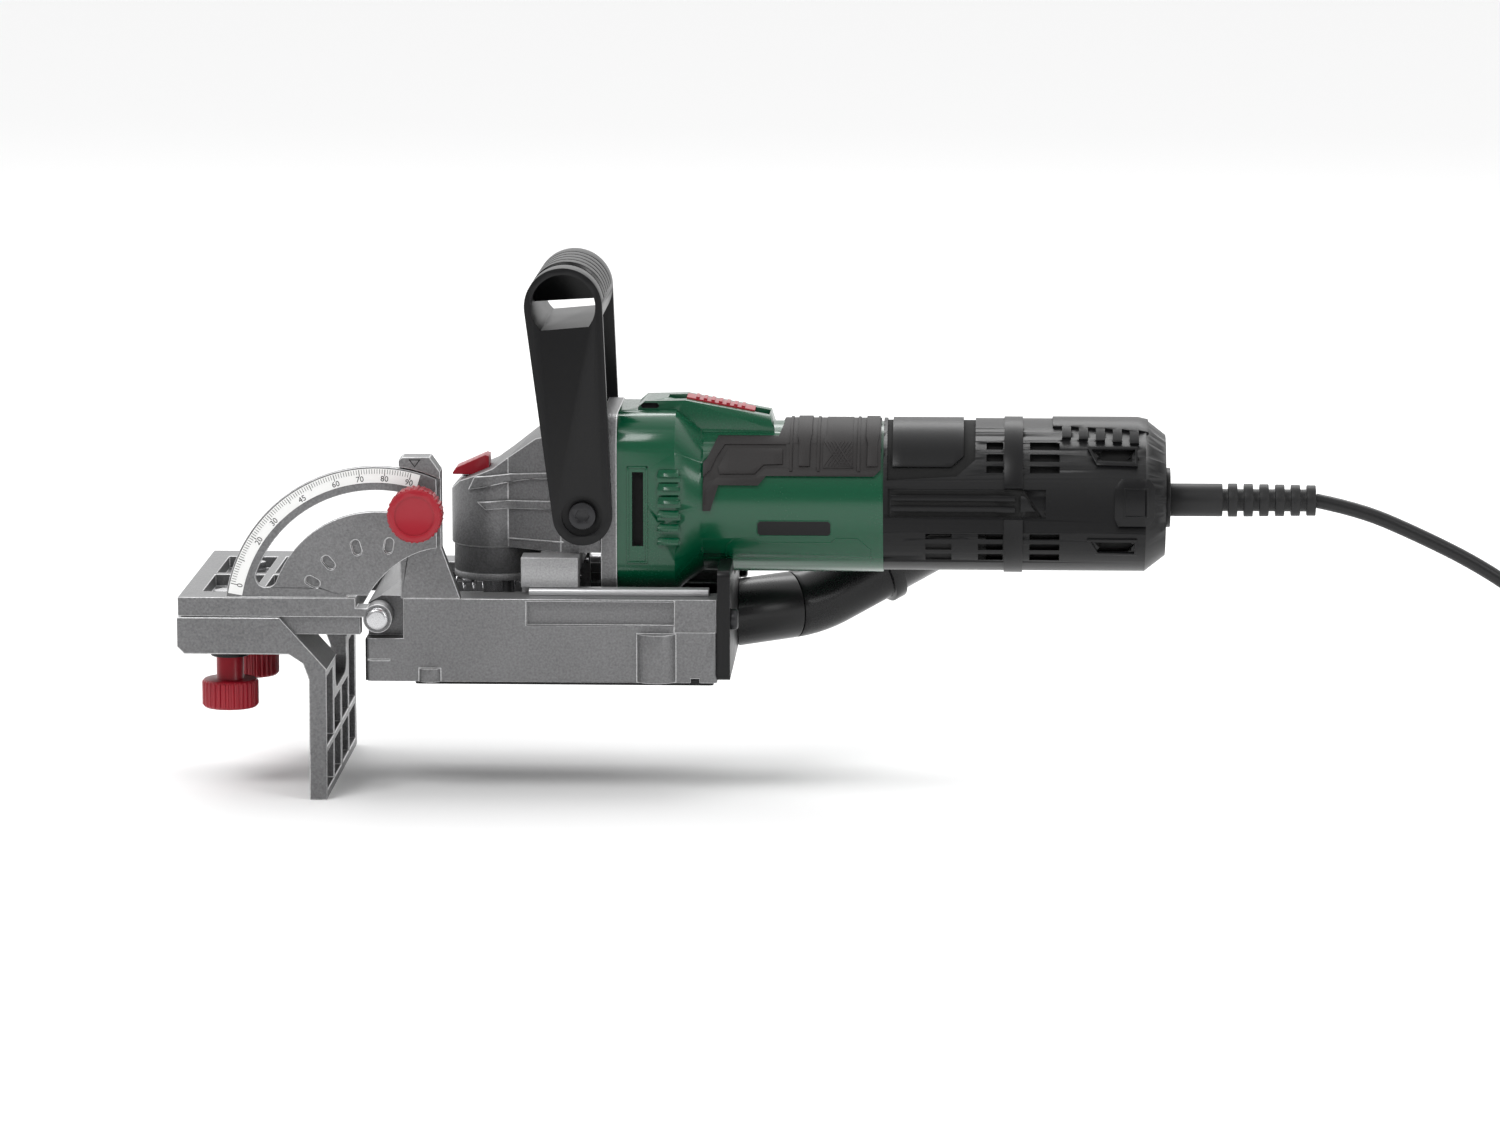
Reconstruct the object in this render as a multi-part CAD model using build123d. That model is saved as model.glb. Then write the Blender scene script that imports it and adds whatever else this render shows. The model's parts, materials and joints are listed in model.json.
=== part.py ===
from build123d import *
import math
import os

# Biscuit joiner. Millimetres, +Z up, +X from the front face to the mains cord,
# -Y is the side with the angle scale. The origin is under the cutter's axis at
# rest, on the underside of the base.

# ---- driving dimensions ----------------------------------------------------
gap = 0.3               # free gap between pieces that move past each other
run_fit = 0.05          # radial clearance of a running fit

base_length = 152.6
base_width = 120.0
base_front = -53.0      # front face, measured from the cutter's axis
wall_top = 37.7
base_lift = 1.1         # underside of the casting above the bottom cover's face
channel_half = 41.5     # half width of the open channel between the rails
deck_low = 20.0
deck_high = 24.0
rear_plate_thick = 5.6
rear_plate_top = 50.6

cutter_diameter = 100.0
kerf = 4.0
cut_height = 10.5       # middle of the cutter above the underside
plunge_stroke = 17.0

hinge_behind_front = 5.2
hinge_height = 29.5
hinge_pin_radius = 3.5
knuckle_radius = 6.3
knuckle_inner = 52.0    # half distance between the inner faces of the knuckles

fence_length = 87.0     # from the hinge to the free end
fence_width = 130.0
fence_bottom = 30.1
fence_top = 38.5
stop_plate_drop = 50.9  # lowest edge of the stop plate below the origin
stop_plate_thick = 7.5
stop_face = -70.5
knob_spacing = 80.0
knob_axis_x = -115.2
height_knob_radius = 12.1

quadrant_radius = 66.6
quadrant_face = -64.0   # outer face of the angle quadrant
quadrant_thick = 3.4
slot_radius = 51.5
slot_width = 9.4
stud_radius = 4.0
stud_angle = 20.8       # of the clamp stud, from the vertical through the hinge
angle_knob_radius = 11.75
washer_radius = 8.9      # clears the fence when it stands upright

head_half = 36.0        # half width of the gear head
head_bottom = 54.1
flange_front = 47.7
flange_back = 54.8
motor_axis_z = 74.9
barrel_radius = 33.3
shell = 3.0
rear_cover_z = 76.1
rear_cover_radius = 33.6
cover_joint_x = 171.0
cover_end_x = 294.7

leg_thick = 4.6
handle_pivot = (39.9, 71.4)
handle_length = 92.0
handle_lean = 5.0
pivot_end_radius = 13.0
grip_radius = 17.0

cord_diameter = 6.5
relief_axis_z = 74.0
floor_z = -stop_plate_drop

# ---- places worked out from them -------------------------------------------
base_back = base_front + base_length
half_width = base_width / 2
hinge_x = base_front + hinge_behind_front
fence_half = fence_width / 2
fence_end = hinge_x - fence_length
rear_plate_back = base_back + rear_plate_thick
leg_inner = head_half + 0.4
leg_outer = leg_inner + leg_thick
stud_x = hinge_x + slot_radius * math.sin(math.radians(stud_angle))
stud_z = hinge_height + slot_radius * math.cos(math.radians(stud_angle))
knob_half = knob_spacing / 2

os.makedirs("parts", exist_ok=True)


# ---- small helpers ---------------------------------------------------------
def block(x0, x1, y0, y1, z0, z1):
    """A box between two corners."""
    return Pos((x0 + x1) / 2, (y0 + y1) / 2, (z0 + z1) / 2) * Box(x1 - x0, y1 - y0, z1 - z0)


def rod_x(radius, x0, x1, y, z):
    """A round bar along X."""
    return Pos((x0 + x1) / 2, y, z) * Rot(0, 90, 0) * Cylinder(radius, x1 - x0)


def rod_y(radius, y0, y1, x, z):
    """A round bar along Y."""
    return Pos(x, (y0 + y1) / 2, z) * Rot(90, 0, 0) * Cylinder(radius, y1 - y0)


def rod_z(radius, z0, z1, x, y):
    """A round bar along Z."""
    return Pos(x, y, (z0 + z1) / 2) * Cylinder(radius, z1 - z0)


def side_prism(points, y0, y1):
    """A plate whose outline is given as (x, z) points, from y0 to y1."""
    face = make_face(Polyline(*points, close=True))
    return Pos(0, y1, 0) * Rot(90, 0, 0) * extrude(face, amount=y1 - y0)


def plan_prism(points, z0, z1):
    """A plate whose outline is given as (x, y) points, from z0 to z1."""
    face = make_face(Polyline(*points, close=True))
    return Pos(0, 0, z0) * extrude(face, amount=z1 - z0)


def both_sides(shape):
    """The shape and its mirror image across the centre plane."""
    return shape + mirror(shape, about=Plane.XZ)


def around_x(x0, x1, half_y, z0, z1, corner):
    """A bar along X whose section is a rectangle with rounded corners."""
    section = RectangleRounded(z1 - z0, 2 * half_y, corner)
    return Pos(x0, 0, (z0 + z1) / 2) * Rot(0, 90, 0) * extrude(section, amount=x1 - x0)


def polar(radius, degrees):
    """A point at a distance and an angle from the vertical through the hinge."""
    a = math.radians(degrees)
    return (radius * math.sin(a), radius * math.cos(a))


def sector(inner, outer, first, last):
    """A flat ring sector, as a face in (right, up) coordinates round the hinge."""
    middle = (first + last) / 2
    edges = [
        ThreePointArc(polar(outer, first), polar(outer, middle), polar(outer, last)),
        Line(polar(outer, last), polar(inner, last)),
        ThreePointArc(polar(inner, last), polar(inner, middle), polar(inner, first)),
        Line(polar(inner, first), polar(outer, first)),
    ]
    return make_face(edges)


def on_quadrant(face, y0, y1):
    """Raises a face drawn for the upright fence and folds it with the fence."""
    plate = Rot(90, 0, 0) * extrude(face, amount=y1 - y0)
    return Pos(hinge_x, y1, hinge_height) * Rot(0, -90, 0) * plate


def knurled(radius, height, grooves, groove_radius):
    """A round knob head along Z, from 0 to height, with grooves round its rim."""
    head = Pos(0, 0, height / 2) * Cylinder(radius, height)
    head = chamfer(head.edges().filter_by(GeomType.CIRCLE), 0.8)
    cutter = Pos(radius + groove_radius * 0.55, 0, height / 2) * Cylinder(groove_radius, height)
    return head - [Rot(0, 0, 360 * i / grooves) * cutter for i in range(grooves)]


def spring(radius, wire, length, turns):
    """A coil spring along Z, from 0 to length, with its ends inside that length."""
    path = Helix((length - wire) / turns, length - wire, radius)
    start = path @ 0
    section = Plane(origin=start, z_dir=path % 0) * Circle(wire / 2)
    return Pos(0, 0, wire / 2) * sweep(section, path)


def toothed(radius, root, width, teeth):
    """A spur-like disc along Z with straight teeth, from 0 to width."""
    body = Pos(0, 0, width / 2) * Cylinder(radius, width)
    pitch = 2 * math.pi * radius / teeth
    space = Pos((radius + root) / 2 + 0.5, 0, width / 2) * Box(radius - root + 1, pitch / 2, width)
    return body - [Rot(0, 0, 360 * i / teeth) * space for i in range(teeth)]


def save(name, shape):
    """Writes one node."""
    solids = shape.solids()
    whole = solids[0] if len(solids) == 1 else Compound(children=list(solids))
    export_step(whole, f"parts/{name}.step")


# ---- base ------------------------------------------------------------------
chamber_half = 52.5
front_wall = 6.0
pin_depth = 14.0
cover_edge = 2.0
cutter_room = cutter_diameter / 2 + 2.0
boss_x = 73.2
boss_radius = 9.35
plate_screws = [(-54.0, 28.5), (54.0, 34.0)]
dust_y = 38.0
dust_z = 16.2
dust_inner = 12.6
dust_outer = 15.0
rail_inner = 42.0
rail_outer = 50.0
rail_top = 40.6
groove_low = 29.0
groove_high = 33.0
spring_y = 30.0
spring_z = 31.0
front_block_back = -36.0


def blade_slot(radius, half_height, back=0.0, ahead=plunge_stroke):
    """The room that the cutter sweeps when the head is pushed forward."""
    slot = SlotCenterToCenter(ahead + back, 2 * radius)
    middle = Pos((back - ahead) / 2, 0, cut_height - half_height)
    return middle * extrude(slot, amount=2 * half_height)


def base_housing():
    body = block(base_front, base_back, -half_width, half_width, base_lift, wall_top)
    body = fillet(body.edges().filter_by(Axis.Z), 2.0)
    body += both_sides(rod_z(boss_radius, base_lift + 0.4, 22.8, boss_x, -half_width + 4.0))
    body += both_sides(rod_z(5.2, base_lift, 7.0, -25.5, -half_width + 2.2))
    # chamber for the cutter and the dust, open below
    body -= block(
        base_front + front_wall,
        base_back - 6,
        -chamber_half,
        chamber_half,
        base_lift,
        deck_low,
    )
    body -= blade_slot(cutter_room, 5.0)
    # channel between the rails, open above
    body -= block(front_block_back, base_back + 1, -channel_half, channel_half, deck_high, wall_top + 1)
    body -= block(-38, 22, -21, 21, deck_low - 1, deck_high + 1)
    body -= both_sides(block(front_block_back, base_back + 1, -45, -41, groove_low, groove_high))
    # recesses for the fence's knuckles, and the bores of the hinge pins
    recess = block(
        base_front - 1,
        base_front + 16,
        -half_width - 1,
        -knuckle_inner + 0.5,
        20.1,
        wall_top + 1,
    )
    body -= both_sides(recess)
    body -= both_sides(
        rod_y(hinge_pin_radius, -half_width, -knuckle_inner + pin_depth, hinge_x, hinge_height)
    )
    lead = side_prism([(base_front - 1, 34), (base_front - 1, 39), (base_front + 8, 39)], -60, 60)
    body -= lead
    # long hollows in the two sides, and the thinner wall above the lower body
    hollow = block(16.5, 81.0, -half_width - 1, -half_width + 3.0, 26.0, 36.6)
    body -= both_sides(hollow)
    body -= both_sides(block(81.0, base_back + 1, -half_width - 1, -half_width + 0.8, 23.4, 40))
    body -= both_sides(
        block(base_front - 1, base_front + 10, -half_width - 1, -half_width + 0.7, 10.2, 10.8)
    )
    # ways through to the dust outlet and for the screws of the rear plate
    body -= rod_x(dust_inner, base_back - 20, base_back + 1, dust_y, dust_z)
    body -= [rod_x(2.5, base_back - 12, base_back + 1, y, z) for y, z in plate_screws]
    body -= [rod_z(2.0, base_lift - 1, 9.0, x, y) for x, y in cover_screws]
    body -= [rod_z(4.2, base_lift - 1, base_lift + 1.9, x, y) for x, y in cover_screws]
    return body


cover_screws = [(x, y) for x in (-28.0, 90.0) for y in (-56.2, 56.2)]


def base_plate():
    flange = block(-32.0, base_back - 1.6, -59.4, 59.4, 0.0, base_lift)
    inset = block(
        -28.0,
        base_back - 8,
        -chamber_half + 1,
        chamber_half - 1,
        base_lift,
        base_lift + cover_edge,
    )
    plate = fillet(flange.edges().filter_by(Axis.Z), 2.0)
    ears = [rod_z(4.0, base_lift, base_lift + 1.7, x, y) for x, y in cover_screws]
    plate = plate + inset + ears
    return plate - [rod_z(2.0, -1, 9, x, y) for x, y in cover_screws]


def base_plate_screws():
    screws = []
    for x, y in cover_screws:
        screw = rod_z(2.0, 0.3, 9.0, x, y)
        screws.append(screw)
    return Compound(children=[s.solids()[0] for s in screws])


def front_pad():
    pad = block(base_front - 0.8, base_front, -half_width + 2, half_width - 2, base_lift, 19.5)
    window = block(base_front - 2, base_front + 1, -41.0, 41.0, cut_height - 4.6, cut_height + 4.6)
    return pad - window


def guide_rails():
    rail = block(17.0, base_back - 4.0, -rail_outer, -rail_inner, wall_top, rail_top)
    rail = chamfer(rail.edges().filter_by(Axis.X).group_by(Axis.Z)[-1], 0.8)
    return both_sides(rail)


def rear_plate():
    plate = block(base_back, rear_plate_back, -half_width, half_width, 2.2, rear_plate_top)
    plate = fillet(plate.edges().filter_by(Axis.X), 3.0)
    plate -= rod_x(barrel_radius + 1.6, base_back - 1, rear_plate_back + 1, 0, motor_axis_z)
    plate -= [rod_x(2.5, base_back - 1, rear_plate_back + 1, y, z) for y, z in plate_screws]
    return plate - dust_line(dust_inner, -14, 20)


def rear_plate_screws():
    screws = []
    for y, z in plate_screws:
        head = rod_x(4.6, rear_plate_back, rear_plate_back + 3.4, y, z)
        head = fillet(head.edges().group_by(Axis.X)[-1], 1.4)
        key = Pos(rear_plate_back + 3.4, y, z) * Rot(0, -90, 0) * extrude(
            RegularPolygon(2.0, 6),
            amount=2.0,
        )
        screws.append(head + rod_x(2.5, base_back - 12, rear_plate_back, y, z) - key)
    return screws[0] + screws[1]


def return_springs():
    coil = spring(4.2, 1.0, 13.5 - front_block_back, 11)
    return both_sides(Pos(front_block_back, -spring_y, spring_z) * Rot(0, 90, 0) * coil)


def hinge_pins():
    pin = rod_y(hinge_pin_radius, -66.2, -knuckle_inner + pin_depth, hinge_x, hinge_height)
    cap = rod_y(5.0, -67.6, -65.3, hinge_x, hinge_height)
    cap = fillet(cap.edges().group_by(Axis.Y)[0], 1.8)
    return both_sides(pin + cap)


def pointer_bracket():
    left, right = -38.0, -20.0
    post = side_prism(
        [
            (left, wall_top),
            (left, 91),
            (-31, 99.5),
            (-27, 99.5),
            (right, 92),
            (right, 60),
            (-12, wall_top),
        ],
        -60.2,
        -53.5,
    )
    tab = side_prism(
        [(left, 92), (left, 99), (-36.5, 100.4), (-24.5, 100.4), (right, 94), (right, 88)],
        -64.8,
        -53.5,
    )
    tab -= rod_y(quadrant_radius + 0.7, -70, -60.2, hinge_x, hinge_height)
    post += tab
    post -= block(-34.5, -24.0, -57.0, -50, 44, 66)
    return post - rod_y(stud_radius, -61, -54, stud_x, stud_z)


def angle_stud():
    return rod_y(stud_radius, -82.0, -54.0, stud_x, stud_z)


def angle_washer():
    ring = rod_y(washer_radius, -66.4, -64.9, stud_x, stud_z)
    return ring - rod_y(stud_radius, -70, -60, stud_x, stud_z)


def angle_knob():
    head = knurled(angle_knob_radius, 11.5, 36, 0.7)
    hub = Pos(0, 0, -3.4) * Cylinder(7.2, 6.8)
    body = head + hub
    body -= Pos(0, 0, 1.6) * Cylinder(stud_radius + run_fit, 18.0 - 1.0)
    dish = Pos(0, 0, 11.5) * Cylinder(8.6, 1.4)
    body -= dish
    return Pos(stud_x, -73.5, stud_z) * Rot(90, 0, 0) * body


# ---- dust outlet -----------------------------------------------------------
dust_yaw = 25.0
dust_rise = 4.0
dust_seam = 26.0        # from the rear plate to the joint of the swivel elbow
elbow_turn = 20.0
elbow_radius = 60.0
elbow_length = 96.0
spigot = 10.0


def dust_frame():
    """The outlet's axis, from where it crosses the rear plate's outer face."""
    yaw, rise = math.radians(dust_yaw), math.radians(dust_rise)
    along = Vector(math.cos(yaw) * math.cos(rise), math.sin(yaw) * math.cos(rise), math.sin(rise))
    across = Vector(-math.sin(yaw), math.cos(yaw), 0)
    return Plane(origin=(rear_plate_back, dust_y, dust_z), x_dir=across, z_dir=along)


def dust_line(radius, start, end):
    """A round bar along the outlet's axis."""
    plane = dust_frame().offset(start)
    return extrude(plane * Circle(radius), amount=end - start)


def elbow_path():
    """Bent upwards, then straight, from the joint with the nozzle."""
    frame = dust_frame()
    turn = math.radians(elbow_turn)
    bend_end = (elbow_radius * math.sin(turn), elbow_radius * (1 - math.cos(turn)))
    rest = elbow_length - elbow_radius * turn
    end = (bend_end[0] + rest * math.cos(turn), bend_end[1] + rest * math.sin(turn))
    half = turn / 2
    middle = (elbow_radius * math.sin(half), elbow_radius * (1 - math.cos(half)))

    def place(s, up):
        return frame.from_local_coords(Vector(0, up, dust_seam + s))

    curves = [
        ThreePointArc(place(0, 0), place(*middle), place(*bend_end)),
        Line(place(*bend_end), place(*end)),
    ]
    return Wire([edge for curve in curves for edge in curve.edges()])


def elbow_tube(radius):
    path = elbow_path()
    section = Plane(origin=path @ 0, z_dir=path % 0) * Circle(radius)
    return sweep(section, path)


def dust_nozzle():
    tube = dust_line(dust_outer, -12, dust_seam)
    tube -= dust_line(dust_inner, -12, dust_seam - spigot - 1)
    tube -= dust_line(dust_inner + 1.2, dust_seam - spigot - 1, dust_seam + 1)
    return tube - block(0, rear_plate_back, -80, 80, -30, 80)


def dust_elbow():
    outer = elbow_tube(dust_outer)
    neck = dust_line(dust_inner + 1.2 - run_fit, dust_seam - spigot, dust_seam + 1)
    path = elbow_path()
    ring_at = 44.0 / path.length
    ring = extrude(
        Plane(origin=path @ ring_at, z_dir=path % ring_at) * Circle(dust_outer + 2.4),
        amount=6.0,
    )
    outer = outer - dust_line(dust_outer + 5, dust_seam - 5, dust_seam + gap)
    bore = elbow_tube(dust_inner - 1.0) + dust_line(
        dust_inner - 1.0,
        dust_seam - spigot - 1,
        dust_seam + 1,
    )
    return outer + neck + ring - bore


# ---- fence -----------------------------------------------------------------
rail_half = 62.5
cheek_in = 62.9
arm_low = 13.4
arm_high = fence_bottom - 8.4
stud_slot = 9.4


def fence_frame():
    tray = block(fence_end, hinge_x - 9.5, -fence_half, fence_half, fence_bottom, fence_top)
    for x0, x1 in ((fence_end + 9, fence_end + 31), (fence_end + 35, hinge_x - 22)):
        tray -= block(x0, x1, -48.5, -2.5, fence_bottom + 3, fence_top + 1)
        tray -= block(x0, x1, 2.5, 48.5, fence_bottom + 3, fence_top + 1)
    arm = block(hinge_x - 12, hinge_x, -fence_half, -knuckle_inner - 0.1, fence_bottom, 34.0)
    knuckle = rod_y(knuckle_radius, -fence_half, -knuckle_inner - 0.1, hinge_x, hinge_height)
    tray += both_sides(arm + knuckle)
    rail = block(fence_end + 1, hinge_x - 7.6, -rail_half, -55.0, fence_bottom - 8.1, fence_bottom)
    tray += both_sides(rail)
    tray += on_quadrant(quadrant_face_shape(), quadrant_face, quadrant_face + quadrant_thick)
    tray -= on_quadrant(arc_slot(), quadrant_face - 1, quadrant_face + quadrant_thick + 0.1)
    for angle in (29.4, 49.0, 73.9, 99.2):
        small = Pos(*polar(32.3, angle)) * Rot(0, 0, 90 - angle) * SlotOverall(7.0, 4.0)
        tray -= on_quadrant(small, quadrant_face - 1, quadrant_face + 1.8)
    tray -= both_sides(rod_y(hinge_pin_radius + run_fit, -70, -50, hinge_x, hinge_height))
    for side in (-1, 1):
        tray -= rod_z(stud_radius, fence_bottom - 1, fence_top, knob_axis_x, side * knob_half)
    return tray


def quadrant_face_shape():
    near, low = 3.0, -26.1
    top = math.sqrt(quadrant_radius**2 - near**2)
    right = math.sqrt(quadrant_radius**2 - low**2)
    edges = [
        ThreePointArc((near, top), polar(quadrant_radius, 55), (right, low)),
        Line((right, low), (31.0, low)),
        Spline((31.0, low), (27.5, -14.5), (20.5, -4.5), (10.0, 4.0)),
        Polyline((10.0, 4.0), (10.0, 13.0), (near, 13.0)),
        Line((near, 13.0), (near, top)),
    ]
    return make_face(edges)


def arc_slot():
    inner, outer = slot_radius - slot_width / 2, slot_radius + slot_width / 2
    first, last = stud_angle - 0.4, stud_angle + 90.4
    ring = sector(inner, outer, first, last)
    ends = [Pos(*polar(slot_radius, a)) * Circle(slot_width / 2) for a in (first, last)]
    return ring + ends


def angle_scale():
    strip = sector(59.6, 65.8, 9.5, 107.0)
    return on_quadrant(strip, quadrant_face - 0.4, quadrant_face)


def height_studs():
    shank = rod_z(stud_radius, -10.2, fence_bottom + 3, knob_axis_x, knob_half)
    head = Pos(knob_axis_x, knob_half, fence_bottom + 3) * extrude(RegularPolygon(7.0, 6), amount=4.6)
    return both_sides(shank + head)


def height_washers():
    disc = rod_z(13.4, arm_low - 2.3, arm_low - 0.3, knob_axis_x, knob_half)
    hub = rod_z(8.4, arm_low - 4.6, arm_low - 2.3, knob_axis_x, knob_half)
    return both_sides(disc + hub - rod_z(stud_radius, 0, 30, knob_axis_x, knob_half))


def stop_plate():
    back = stop_face - stop_plate_thick
    outline = [
        (fence_end - 0.4, arm_low + 3),
        (fence_end + 2.6, arm_low),
        (back - 8.5, arm_low),
        (back - 2.5, arm_low - 4.0),
        (back, arm_low - 11.0),
        (back, floor_z),
        (stop_face, floor_z),
        (stop_face, 6.0),
        (-69.9, 6.7),
        (-90.6, 29.7),
        (fence_end - 0.4, 29.7),
    ]
    plate = side_prism(outline, -fence_half, fence_half)
    plate -= block(fence_end - 1, -60, -cheek_in, cheek_in, arm_high, 31)
    # two long slots for the clamping studs
    for side in (-1, 1):
        slot = Pos(knob_axis_x - 1.5, side * knob_half, arm_low - 1) * extrude(
            SlotCenterToCenter(28.0, stud_slot), amount=12
        )
        plate -= slot
    # pockets between the ribs on the side that faces the base
    skin = stop_face - stop_plate_thick + 2.5
    for y0, y1 in ((-61, -33), (-30, -2.5), (2.5, 30), (33, 61)):
        plate -= block(skin, stop_face + 1, y0, y1, -47.0, -30.5)
        top = 3.0 if abs(y0 + y1) > 80 else -12.5
        plate -= block(skin, stop_face + 1, y0, y1, -27.5, top)
    # U-shaped window at the root of the plate
    window = block(back - 12, -55, -24, 24, 3.0, 26)
    window += rod_x_round(back - 1, stop_face + 12, 24, -9.0, 8.0)
    return plate - window


def rod_x_round(x0, x1, half_y, z_low, corner):
    """A cut along X with a flat top and two rounded lower corners."""
    height = 26.0
    place = Plane(origin=(x0, 0, z_low + height / 2), x_dir=(0, 1, 0), z_dir=(1, 0, 0))
    return extrude(place * RectangleRounded(2 * half_y, height, corner), amount=x1 - x0)


def height_knob(side):
    head = knurled(height_knob_radius, 12.4, 34, 0.75)
    neck = Pos(0, 0, 12.4 + 5.0) * Cylinder(6.0, 10.0)
    body = head + neck - Pos(0, 0, 14.0) * Cylinder(stud_radius + run_fit, 21.4)
    return Pos(knob_axis_x, side * knob_half, -13.9) * body


# ---- gear head -------------------------------------------------------------
nose_x = -20.4
bearing_radius = 16.0
neck_radius = 19.4


def head_outline():
    return [
        (nose_x, head_bottom),
        (nose_x, 78.0),
        (-16.0, 82.6),
        (-0.8, 89.1),
        (18.7, 103.5),
        (flange_front, 111.5),
        (flange_front, head_bottom),
    ]


def head_plan(shrink=0.0):
    """The gear head seen from above, with a round nose about the spindle."""
    r = -nose_x - shrink
    side = head_half - 2.0 - shrink
    edges = [
        ThreePointArc((6.0, -r + 1.0), (-r, 0), (6.0, r - 1.0)),
        Line((6.0, r - 1.0), (30.0, side)),
        Polyline(
            (30.0, side),
            (flange_front - shrink, side),
            (flange_front - shrink, -side),
            (30.0, -side),
        ),
        Line((30.0, -side), (6.0, -r + 1.0)),
    ]
    return make_face(edges)


def head_room(shape):
    """Keeps what lies inside the gear head's plan."""
    return shape & (Pos(0, 0, 40) * extrude(head_plan(), amount=90))


def gear_head():
    solid = head_room(side_prism(head_outline(), -head_half, head_half))
    solid += rod_z(neck_radius, 42.0, head_bottom + 1, 0, 0)
    pad = rod_y(12.0, -head_half, -20, *handle_pivot)
    solid += both_sides(pad & block(20, flange_front, -60, 60, 40, 100))
    inner = side_prism(
        [
            (nose_x, 58.0),
            (nose_x, 76.0),
            (-1.5, 84.0),
            (18.0, 98.0),
            (flange_front - 3, 105.0),
            (flange_front - 3, 58.0),
        ],
        -head_half,
        head_half,
    )
    solid -= inner & (Pos(0, 0, 40) * extrude(head_plan(2.6), amount=90))
    solid -= rod_x(12.0, flange_front - 6, flange_front + 1, 0, motor_axis_z)
    solid -= rod_z(bearing_radius, 41.0, 60.0, 0, 0)
    solid += rod_z(10.6, 80.0, 85.0, 0, 0)
    ring = rod_z(10.6, 74.0, 81.0, 0, 0) - rod_z(9.5, 73.0, 80.0, 0, 0)
    solid += ring
    solid -= lock_hole()
    return solid - both_sides(rod_y(stud_radius, -head_half - 1, -24, *handle_pivot))


lock_x = -12.5


def lock_hole():
    shaft = rod_z(2.0 + run_fit, 66.0, 95.0, lock_x, 0)
    pocket = block(lock_x - 7.4, lock_x + 9.4, -6.9, 6.9, 82.0, 95.0)
    return shaft + pocket


def lock_button():
    cap = side_prism(
        [
            (lock_x - 7, 84.6),
            (lock_x - 7, 85.4),
            (lock_x - 5.5, 87.4),
            (lock_x + 7.5, 93.2),
            (lock_x + 9, 92.6),
            (lock_x + 9, 84.6),
        ],
        -6.5,
        6.5,
    )
    for i in range(5):
        x = lock_x - 3.5 + 2.6 * i
        cap -= side_prism([(x, 88.1 + 1.16 * i), (x + 1.2, 90 + 1.16 * i), (x, 91 + 1.16 * i)], -7, 7)
    return cap + rod_z(2.0, 71.6, 85.0, lock_x, 0)


def lock_spring():
    coil = spring(3.2, 0.6, 2.4, 2)
    return Pos(lock_x, 0, 82.05) * coil


def bearing_flange():
    ring = rod_z(neck_radius, 39.0, 42.0, 0, 0)
    ring -= rod_z(11.0, 38, 43, 0, 0)
    return ring - [rod_z(1.6, 38, 43, *p) for p in flange_holes]


flange_holes = [
    (17.4 * math.cos(math.radians(a)), 17.4 * math.sin(math.radians(a)))
    for a in (45, 135, 225, 315)
]


def spindle_bearings():
    lower = rod_z(bearing_radius, 42.0, 53.0, 0, 0) - rod_z(7.5, 40, 55, 0, 0)
    upper = rod_z(9.5, 74.0, 80.0, 0, 0) - rod_z(3.0, 70, 82, 0, 0)
    return lower + upper


def spindle():
    shaft = rod_z(7.4, 40.0, 58.0, 0, 0) + rod_z(5.0, 4.0, 40.0, 0, 0) + rod_z(6.9, 18.0, 40.0, 0, 0)
    return shaft + rod_z(5.0, 58.0, 73.6, 0, 0) + rod_z(2.95, 73.6, 79.6, 0, 0)


def crown_gear():
    wheel = Pos(0, 0, 60.5) * toothed(17.2, 14.6, 7.6, 36)
    wheel -= rod_z(11.4, 66.0, 70.0, 0, 0)
    return wheel - rod_z(5.0, 58, 72, 0, 0)


def pinion():
    wheel = toothed(5.9, 4.4, 6.0, 10)
    wheel -= Pos(0, 0, 3) * Cylinder(3.0, 8)
    return Pos(11.2, 0, motor_axis_z) * Rot(0, 90, 0) * wheel


def inner_flange():
    disc = rod_z(15.0, cut_height + kerf / 2, cut_height + kerf / 2 + 3.0, 0, 0)
    disc += rod_z(9.0, cut_height + kerf / 2 + 3.0, 18.0, 0, 0)
    return disc - rod_z(5.0, 0, 30, 0, 0)


def cutter():
    disc = rod_z(44.0, cut_height - 1.5, cut_height + 1.5, 0, 0)
    tip_r = cutter_diameter / 2
    tooth = plan_prism(
        [(40, -5.5), (tip_r - 5, -5.0), (tip_r - 0.3, 0), (44, 1.2), (40, 2)],
        cut_height - 1.5,
        cut_height + 1.5,
    )
    tip = plan_prism(
        [(43.6, 0.4), (tip_r - 0.3, 0), (tip_r - 0.3, 2.2), (43.6, 2.2)],
        cut_height - 2,
        cut_height + 2,
    )
    for i in range(6):
        disc += Rot(0, 0, 60 * i) * tooth
        disc += Rot(0, 0, 60 * i) * tip
        disc -= Rot(0, 0, 60 * i + 30) * rod_z(4.0, 0, 30, 29.0, 0)
    return disc - rod_z(5.0, 0, 30, 0, 0)


def flange_nut():
    nut = rod_z(14.0, cut_height - 1.5 - 3.2, cut_height - 1.5, 0, 0)
    nut -= rod_z(5.0, 0, 30, 0, 0)
    return nut - [Rot(0, 0, 90 * i) * rod_z(1.6, 0, 7.4, 10.0, 0) for i in range(4)]


block_front = 13.5
block_back = 38.4


def carriage():
    side = block(block_front, block_back, -48.0, -34.0, rail_top + gap, head_bottom)
    side += block(block_front, block_back, -channel_half + gap, -36.5, 27.0, rail_top + 2)
    side += block(
        block_front,
        block_back,
        -44.5,
        -channel_half + gap - 0.1,
        groove_low + gap,
        groove_high - gap,
    )
    side += block(block_front, block_front + 5, -channel_half + gap, -25.0, 26.0, rail_top + 2)
    web = block(21.0, block_back, -36.0, 36.0, 46.0, head_bottom)
    return both_sides(side) + web - rod_z(neck_radius, 30, 60, 0, 0)


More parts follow.
